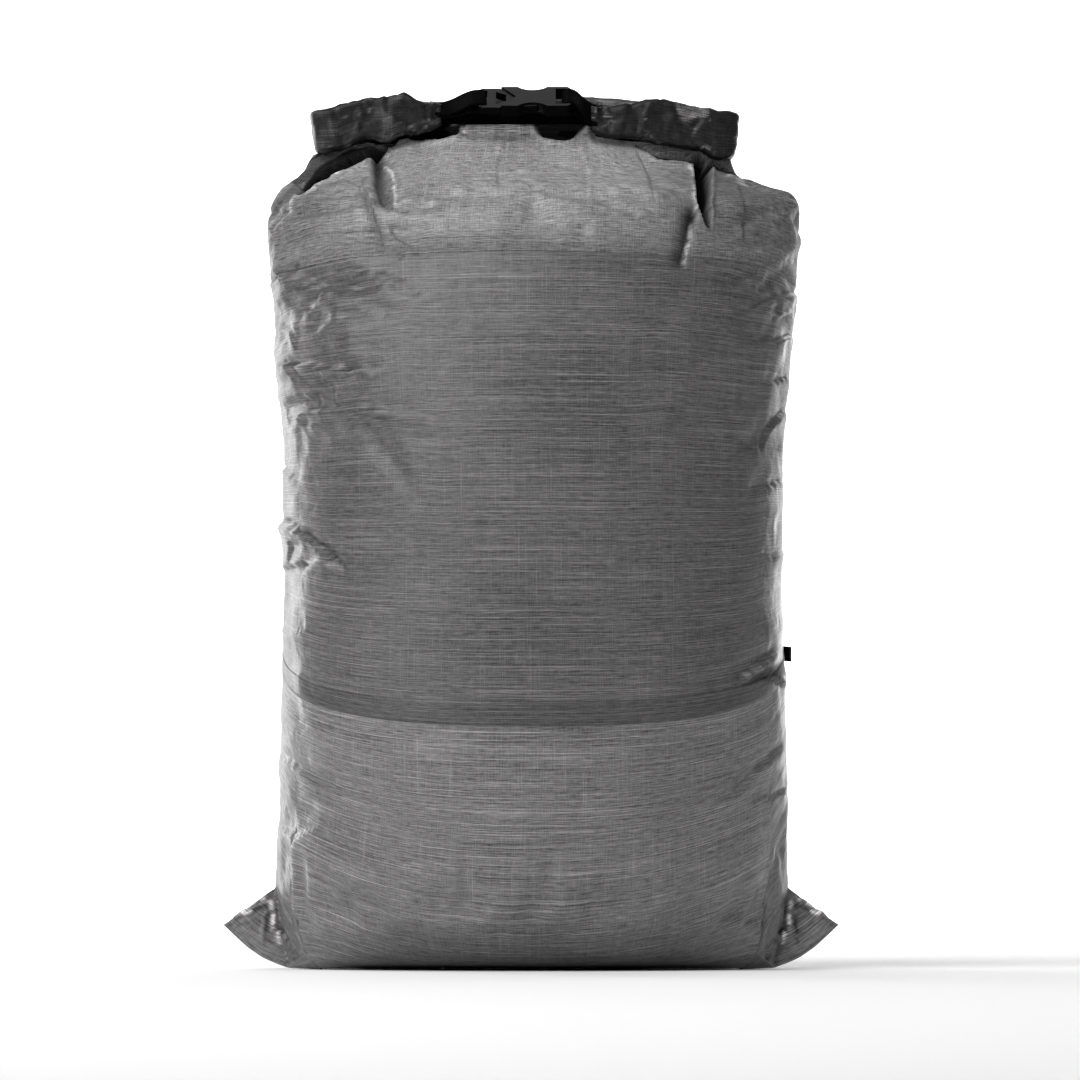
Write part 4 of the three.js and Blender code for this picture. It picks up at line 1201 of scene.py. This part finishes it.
def roll_grid():
    """The rolled collar as one sheet wound into a flat roll and folded forward at both ends."""
    s, x, y, heading, top, bottom, ends = roll_stations()
    from_end = np.minimum(s, s[-1] - s)
    half_depth = curve_through([(0, 2.7), (14, 4.0), (30, 4.3), (75, 4.5), (100, 5.0), (170, 5.0)], from_end)
    half_depth = half_depth[:, None]
    turn = np.linspace(0, ROLL_TURNS, int(ROLL_TURNS * ROLL_POINTS))[None, :]
    inset = (ROLL_TURNS - turn) * ROLL_SPACING * half_depth
    depth = half_depth - inset
    height = (top - bottom)[:, None] / 2 - inset
    across, up = stadium(turn + ROLL_LIP - ROLL_TURNS % 1, depth, height)
    s_grid, turn_grid = np.broadcast_arrays(s[:, None], turn)
    around = turn_grid * ROLL_GIRTH
    bumps = crumple(s_grid, around, (8, 14), 51, 3) * 1.2 + crumple(s_grid, around, (40, 30), 77, 2) * 0.5
    bumps = bumps * (0.3 + 0.7 * turn_grid / ROLL_TURNS)
    under_webbing = (s > ends[2]) & (s < ends[3]) & (np.abs(x) < 60)
    bumps = bumps * np.where(under_webbing[:, None] & (across < 0), 0.15, 1.0)
    length = np.maximum(np.hypot(across / depth * 2, up / height), 1e-6)
    across = across * (1 + 1.5 * bumps / (length * np.maximum(depth, 1.5)))
    up = up + np.sign(up) * bumps * 0.9 * smoothstep(np.abs(up) / height, 0.5, 1)
    side = np.stack([np.sin(heading), -np.cos(heading)], axis=1)
    middle = ((top + bottom) / 2)[:, None]
    lean = 1.8 * np.sign(x) * smoothstep(np.abs(x), 80, 95)
    lean = lean[:, None] * up / np.maximum(np.abs(height), 1)
    places = (x[:, None] - across * side[:, :1], y[:, None] - across * side[:, 1:], middle + up)
    points = np.stack(places, axis=2)
    square_off(points)
    points[:, :, 0] += lean
    behind_buckle = (s > ends[2]) & (s < ends[3]) & (np.abs(x) < 40)
    swing = behind_buckle * (1 - smoothstep(np.abs(x), 30, 40))
    points[:, :, 1] += ROLL_LEAN * smoothstep(points[:, :, 2], 398.5, 403.5) * swing[:, None]
    return points, s_grid, turn_grid, ends


def square_off(points):
    """Makes the two round folds at the roll's ends squarer, as pressed film folds."""
    for fold_x, side in ((LEFT_FOLD, -1), (RIGHT_FOLD, 1)):
        out = np.maximum(side * (points[:, :, 0] - fold_x), 0)
        across = points[:, :, 1] - FLAP_Y / 2
        away = np.maximum(np.hypot(out, across), 1e-6)
        stretch = ((out / away) ** 4 + np.abs(across / away) ** 4) ** -0.25
        stretch = 1 + (stretch - 1) * (out > 0)
        points[:, :, 0] += side * out * (stretch - 1)
        points[:, :, 1] += across * (stretch - 1)


def make_roll():
    points, s_grid, turn_grid, ends = roll_grid()
    x, y, z = (points[:, :, k] for k in range(3))
    height = sum(fold(x, z, *entry, fade=0.05) for entry in FLAP_FOLDS)
    facing = (y < FLAP_Y - 0.5) & (turn_grid > ROLL_TURNS - 1.3)
    points = points + np.stack([0 * x, -height * facing, 0 * x], axis=2)
    uvs = np.stack([s_grid, 480 + turn_grid * 50], axis=2) * MM
    around = turn_grid * ROLL_GIRTH
    lines = veins(s_grid, around, (9, 12), 93, 0.05) + 0.7 * veins(s_grid, around, (5, 6), 97)
    patches = smoothstep(lattice_noise(s_grid, around, (5, 7), 99), 0.1, 0.9) * (s_grid < ends[2])
    # Painted shade on the roll's inner turns.
    painted_shading = np.clip((ROLL_TURNS - turn_grid - 1.0) / 1.5, 0, 1) * 0.7
    spans = [
        ("left_roll_end_cloth", 0, ends[1] + FOLD_RADIUS * 2.4, ["left_roll_end"]),
        ("rolled_collar_cloth", ends[1] + FOLD_RADIUS * 2.4, ends[3] + FOLD_RADIUS, ["rolled_collar"]),
        ("right_roll_end_cloth", ends[3] + FOLD_RADIUS, ends[5], ["right_roll_end"]),
    ]
    lengths = s_grid[:, 0]
    for name, low, high, nodes in spans:
        first = np.searchsorted(lengths, low)
        last = min(np.searchsorted(lengths, high), len(lengths) - 1)
        part = slice(first, last + 1)
        middle = name.startswith("rolled")
        look = LOOK["roll" if middle else "flap"]
        # Painted highlights along the thin crease lines, much brighter on the folded ends; the patches
        # lighten the left end in blotches.
        shade = painted_shading - (1.0 if middle else 13.0) * lines - (0.3 if middle else 4.0) * patches
        piece = cloth(name, (points[part], uvs[part], shade[part]), look, "collar_fabric", nodes, 0.35)
        if name.startswith("left"):
            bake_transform(piece)
        else:
            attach(piece, "closure")


# ------------------------------------------------------------------ webbing, thread and buckle

BUCKLE_TILT = math.radians(33)


def strip(name, centre, across, facing, widths, thickness, node):
    """A woven strip along centre with round edges. across and facing are its directions at each point."""
    corner = [(0.3, 0.46), (0.46, 0.5), (0.485, 0.36), (0.5, 0.0)]
    outline = [(-a, b) for a, b in corner[::-1]] + [(0.0, 0.45)] + corner
    outline += [(a, -b) for a, b in outline[-2:0:-1]]
    ring = np.array(outline)
    points = (centre[:, None] + ring[None, :, :1] * widths[:, None, None] * across[:, None]
              + ring[None, :, 1:] * thickness * facing[:, None])
    rows, columns = points.shape[:2]
    faces = grid_faces(rows, columns, wrap=True).tolist()
    faces += [list(range(columns))[::-1], [(rows - 1) * columns + k for k in range(columns)]]
    along = np.concatenate([[0], np.cumsum(np.linalg.norm(np.diff(centre, axis=0), axis=1))])
    uvs = np.stack(np.broadcast_arrays(along[:, None], ring[None, :, 0] * STRAP_WIDTH), axis=2)
    piece = add_mesh(name, points.reshape(-1, 3), faces, uvs.reshape(-1, 2) * MM)
    dress(piece, LOOK["webbing"], "webbing", node)
    return piece


def make_hem_webbing():
    low, high = box_mm("hem_webbing")
    x = np.linspace(low[0], high[0], 120)
    z = (curve_through(MAIN_TOP, x) + curve_through(MAIN_BOTTOM, x)) / 2 + 0.4
    z = np.minimum(z, high[2] - HEM_WIDTH / 2 - 0.1)
    y = np.full(x.shape, (low[1] + high[1]) / 2 + 0.1) + 0.08 * lattice_noise(x, z, (14, 14), 5)
    across = np.tile([0.0, 0.0, 1.0], (len(x), 1))
    facing = np.tile([0.0, -1.0, 0.0], (len(x), 1))
    widths = np.full(x.shape, HEM_WIDTH) + 0.4 * lattice_noise(x, z, (9, 9), 6)
    centre = np.stack([x, y, z], axis=1)
    piece = strip("hem_webbing_strip", centre, across, facing, widths, HEM_THICKNESS, "hem_webbing")
    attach(piece, "closure")


def make_straps():
    """Webbing that runs double from inside each flap round a bar of the buckle."""
    low, high = box_mm("buckle_female")
    _, middle_y, middle_z = (low + high) / 2
    # name, side, the bar's x and radius, the flap's end, its height and its tilt, how pinched the webbing
    # is there, and the bodies at the flap and at the bar
    plans = [
        ("left", -1, box_mm("left_webbing")[1][0] - 2.75, 1.5, LEFT_END - 3.0, 401.0, math.radians(42), 0.62,
         ("left_end", "buckle_plug")),
        ("right", 1, box_mm("right_webbing")[0][0] + 3.15, 1.9, RIGHT_END + 3.0, 398.2, math.radians(62), 0.8,
         ("closure", "buckle_socket")),
    ]
    for name, side, bar, round_bar, flap, flap_z, flap_tilt, pinch, bodies in plans:
        reach = abs(bar - flap)
        away = np.concatenate([np.linspace(reach, 0, 26), np.zeros(11), np.linspace(0, reach, 26)])
        arc = np.radians([-90.0] * 26 + np.linspace(-90, 90, 11).tolist() + [90.0] * 26)
        radius = 0.75 + round_bar * (1 - smoothstep(away / reach, 0.0, 0.75))
        x = bar + side * away - side * radius * np.cos(arc)
        out = radius * np.sin(arc)
        share = smoothstep(away / reach, 0.1, 0.95)
        tilt = BUCKLE_TILT + (flap_tilt - BUCKLE_TILT) * share
        y = middle_y + (FLAP_Y - middle_y) * share
        z = middle_z + (flap_z - middle_z) * share - 0.5 * np.sin(math.pi * share)
        across = np.stack([0 * x, np.cos(tilt), np.sin(tilt)], axis=1)
        normal = np.stack([0 * x, -np.sin(tilt), np.cos(tilt)], axis=1)
        centre = np.stack([x, y, z], axis=1) + out[:, None] * normal
        along = np.gradient(centre, axis=0)
        facing = np.cross(along, across)
        facing /= np.linalg.norm(facing, axis=1, keepdims=True)
        widths = STRAP_WIDTH * (1 + (pinch - 1) * smoothstep(away / reach, 0.35, 1.0))
        node = name + "_webbing"
        piece = strip(node + "_strap", centre, across, facing, widths, STRAP_THICKNESS, node)
        if name == "left":
            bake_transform(piece)
        else:
            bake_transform(piece)


def make_bartacks():
    """A zigzag of stitches between two lines of thread over each place where webbing is sewn down."""
    stitches = 15
    plans = (("left_bartack", "left_end"), ("right_bartack", "closure"), ("side_tab_bartack", "tab"))
    for node, body in plans:
        low, high = box_mm(node)
        z = np.linspace(low[2], high[2], 2 * stitches + 1)
        if body == "tab":
            low[0], high[0] = low[0] + 0.5, high[0] + 0.4
        edges = (low[0] + 0.2, high[0] - 0.2)
        x = np.where(np.arange(len(z)) % 2 == 0, *edges)
        y = np.full(z.shape, low[1] + 0.35)
        verts, faces = tube(np.stack([x, y, z], axis=1), 0.24)
        for edge in edges:
            more, more_faces = tube(np.stack([np.full(z.shape, edge), y + 0.15, z], axis=1), 0.22)
            faces = faces + [[k + len(verts) for k in face] for face in more_faces]
            verts = np.concatenate([verts, more])
        piece = add_mesh(node + "_stitches", verts, faces)
        dress(piece, LOOK["thread"], "thread", node)
        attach(piece, body)


def make_tab():
    """A small loop of webbing caught in the right side seam."""
    low, high = box_mm("side_tab")
    turn = np.radians(np.linspace(-90, 90, 13))
    root, bend = low[0] - 1.5, high[0] - 0.9
    x = np.concatenate([np.linspace(root, bend, 8), bend + 0.6 * np.cos(turn), np.linspace(bend, root, 8)])
    y = np.concatenate([np.full(8, -0.55), 0.55 * np.sin(turn), np.full(8, 0.55)])
    z = np.full(x.shape, (low[2] + high[2]) / 2) - 0.1 * (x - low[0])
    centre = np.stack([x, y, z], axis=1)
    along = np.gradient(centre, axis=0)
    across = np.tile([0.0, 0.0, 1.0], (len(x), 1))
    facing = np.cross(along, across)
    facing /= np.maximum(np.linalg.norm(facing, axis=1, keepdims=True), 1e-9)
    widths = np.full(x.shape, high[2] - low[2])
    piece = strip("side_tab_loop", centre, across, facing, widths, TAB_THICKNESS, "side_tab")
    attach(piece, "tab")


def make_buckle():
    """Moulded parts: copies of the solids with their edges rounded."""
    bevels = {"buckle_female": 0.45, "buckle_male": 0.45, "prong_front": 0.3, "prong_rear": 0.3}
    for node, bevel in bevels.items():
        mesh = frame["nodes"][node].data.copy()
        mesh.name = node + "_moulding"
        mesh.materials.clear()
        work = bmesh.new()
        work.from_mesh(mesh)
        bmesh.ops.remove_doubles(work, verts=work.verts, dist=2e-6)
        bmesh.ops.dissolve_limit(work, angle_limit=math.radians(1), verts=work.verts, edges=work.edges)
        work.to_mesh(mesh)
        work.free()
        mesh.polygons.foreach_set("use_smooth", [True] * len(mesh.polygons))
        piece = bpy.data.objects.new(node + "_moulding", mesh)
        bpy.context.scene.collection.objects.link(piece)
        round_off = piece.modifiers.new("edges", "BEVEL")
        round_off.width = bevel * MM
        round_off.segments = 3
        round_off.limit_method = "ANGLE"
        round_off.angle_limit = math.radians(28)
        shading = piece.modifiers.new("shading", "WEIGHTED_NORMAL")
        shading.keep_sharp = False
        dress(piece, LOOK["plastic"], "buckle_plastic", node)
        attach(piece, frame["nodes"][node]["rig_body"])


make_camera()
make_stage()
make_world()
make_lights()
LOOK = {
    "body": film_material("body_film", GREY["body"]),
    "collar": film_material("collar_film", GREY["collar"], 0.4, 0.5, 1.3),
    "base": film_material("base_film", GREY["base"]),
    "tape": film_material("seam_film", GREY["tape"]),
    "roll": film_material("roll_film", GREY["roll"], 0.42, 0.6, 1.4),
    "flap": film_material("flap_film", GREY["flap"], 0.4, 0.8, 1.8, 0.22),
    "webbing": webbing_material(),
    "thread": thread_material(),
    "plastic": plastic_material(),
}

girth, rises, plain, seam_rises = whole_grid()
sculpted, darkness = sculpt(plain)
# The shell's layers are the points, girth, rise, shade and the outward normals.
coordinates = np.stack([*np.meshgrid(girth, rises), darkness], axis=2)
shell = np.concatenate([sculpted, coordinates, grid_normals(sculpted, True)], axis=2)
make_panels()
make_ears()
make_tapes()
make_roll()
make_hem_webbing()
make_straps()
make_bartacks()
make_tab()
make_buckle()
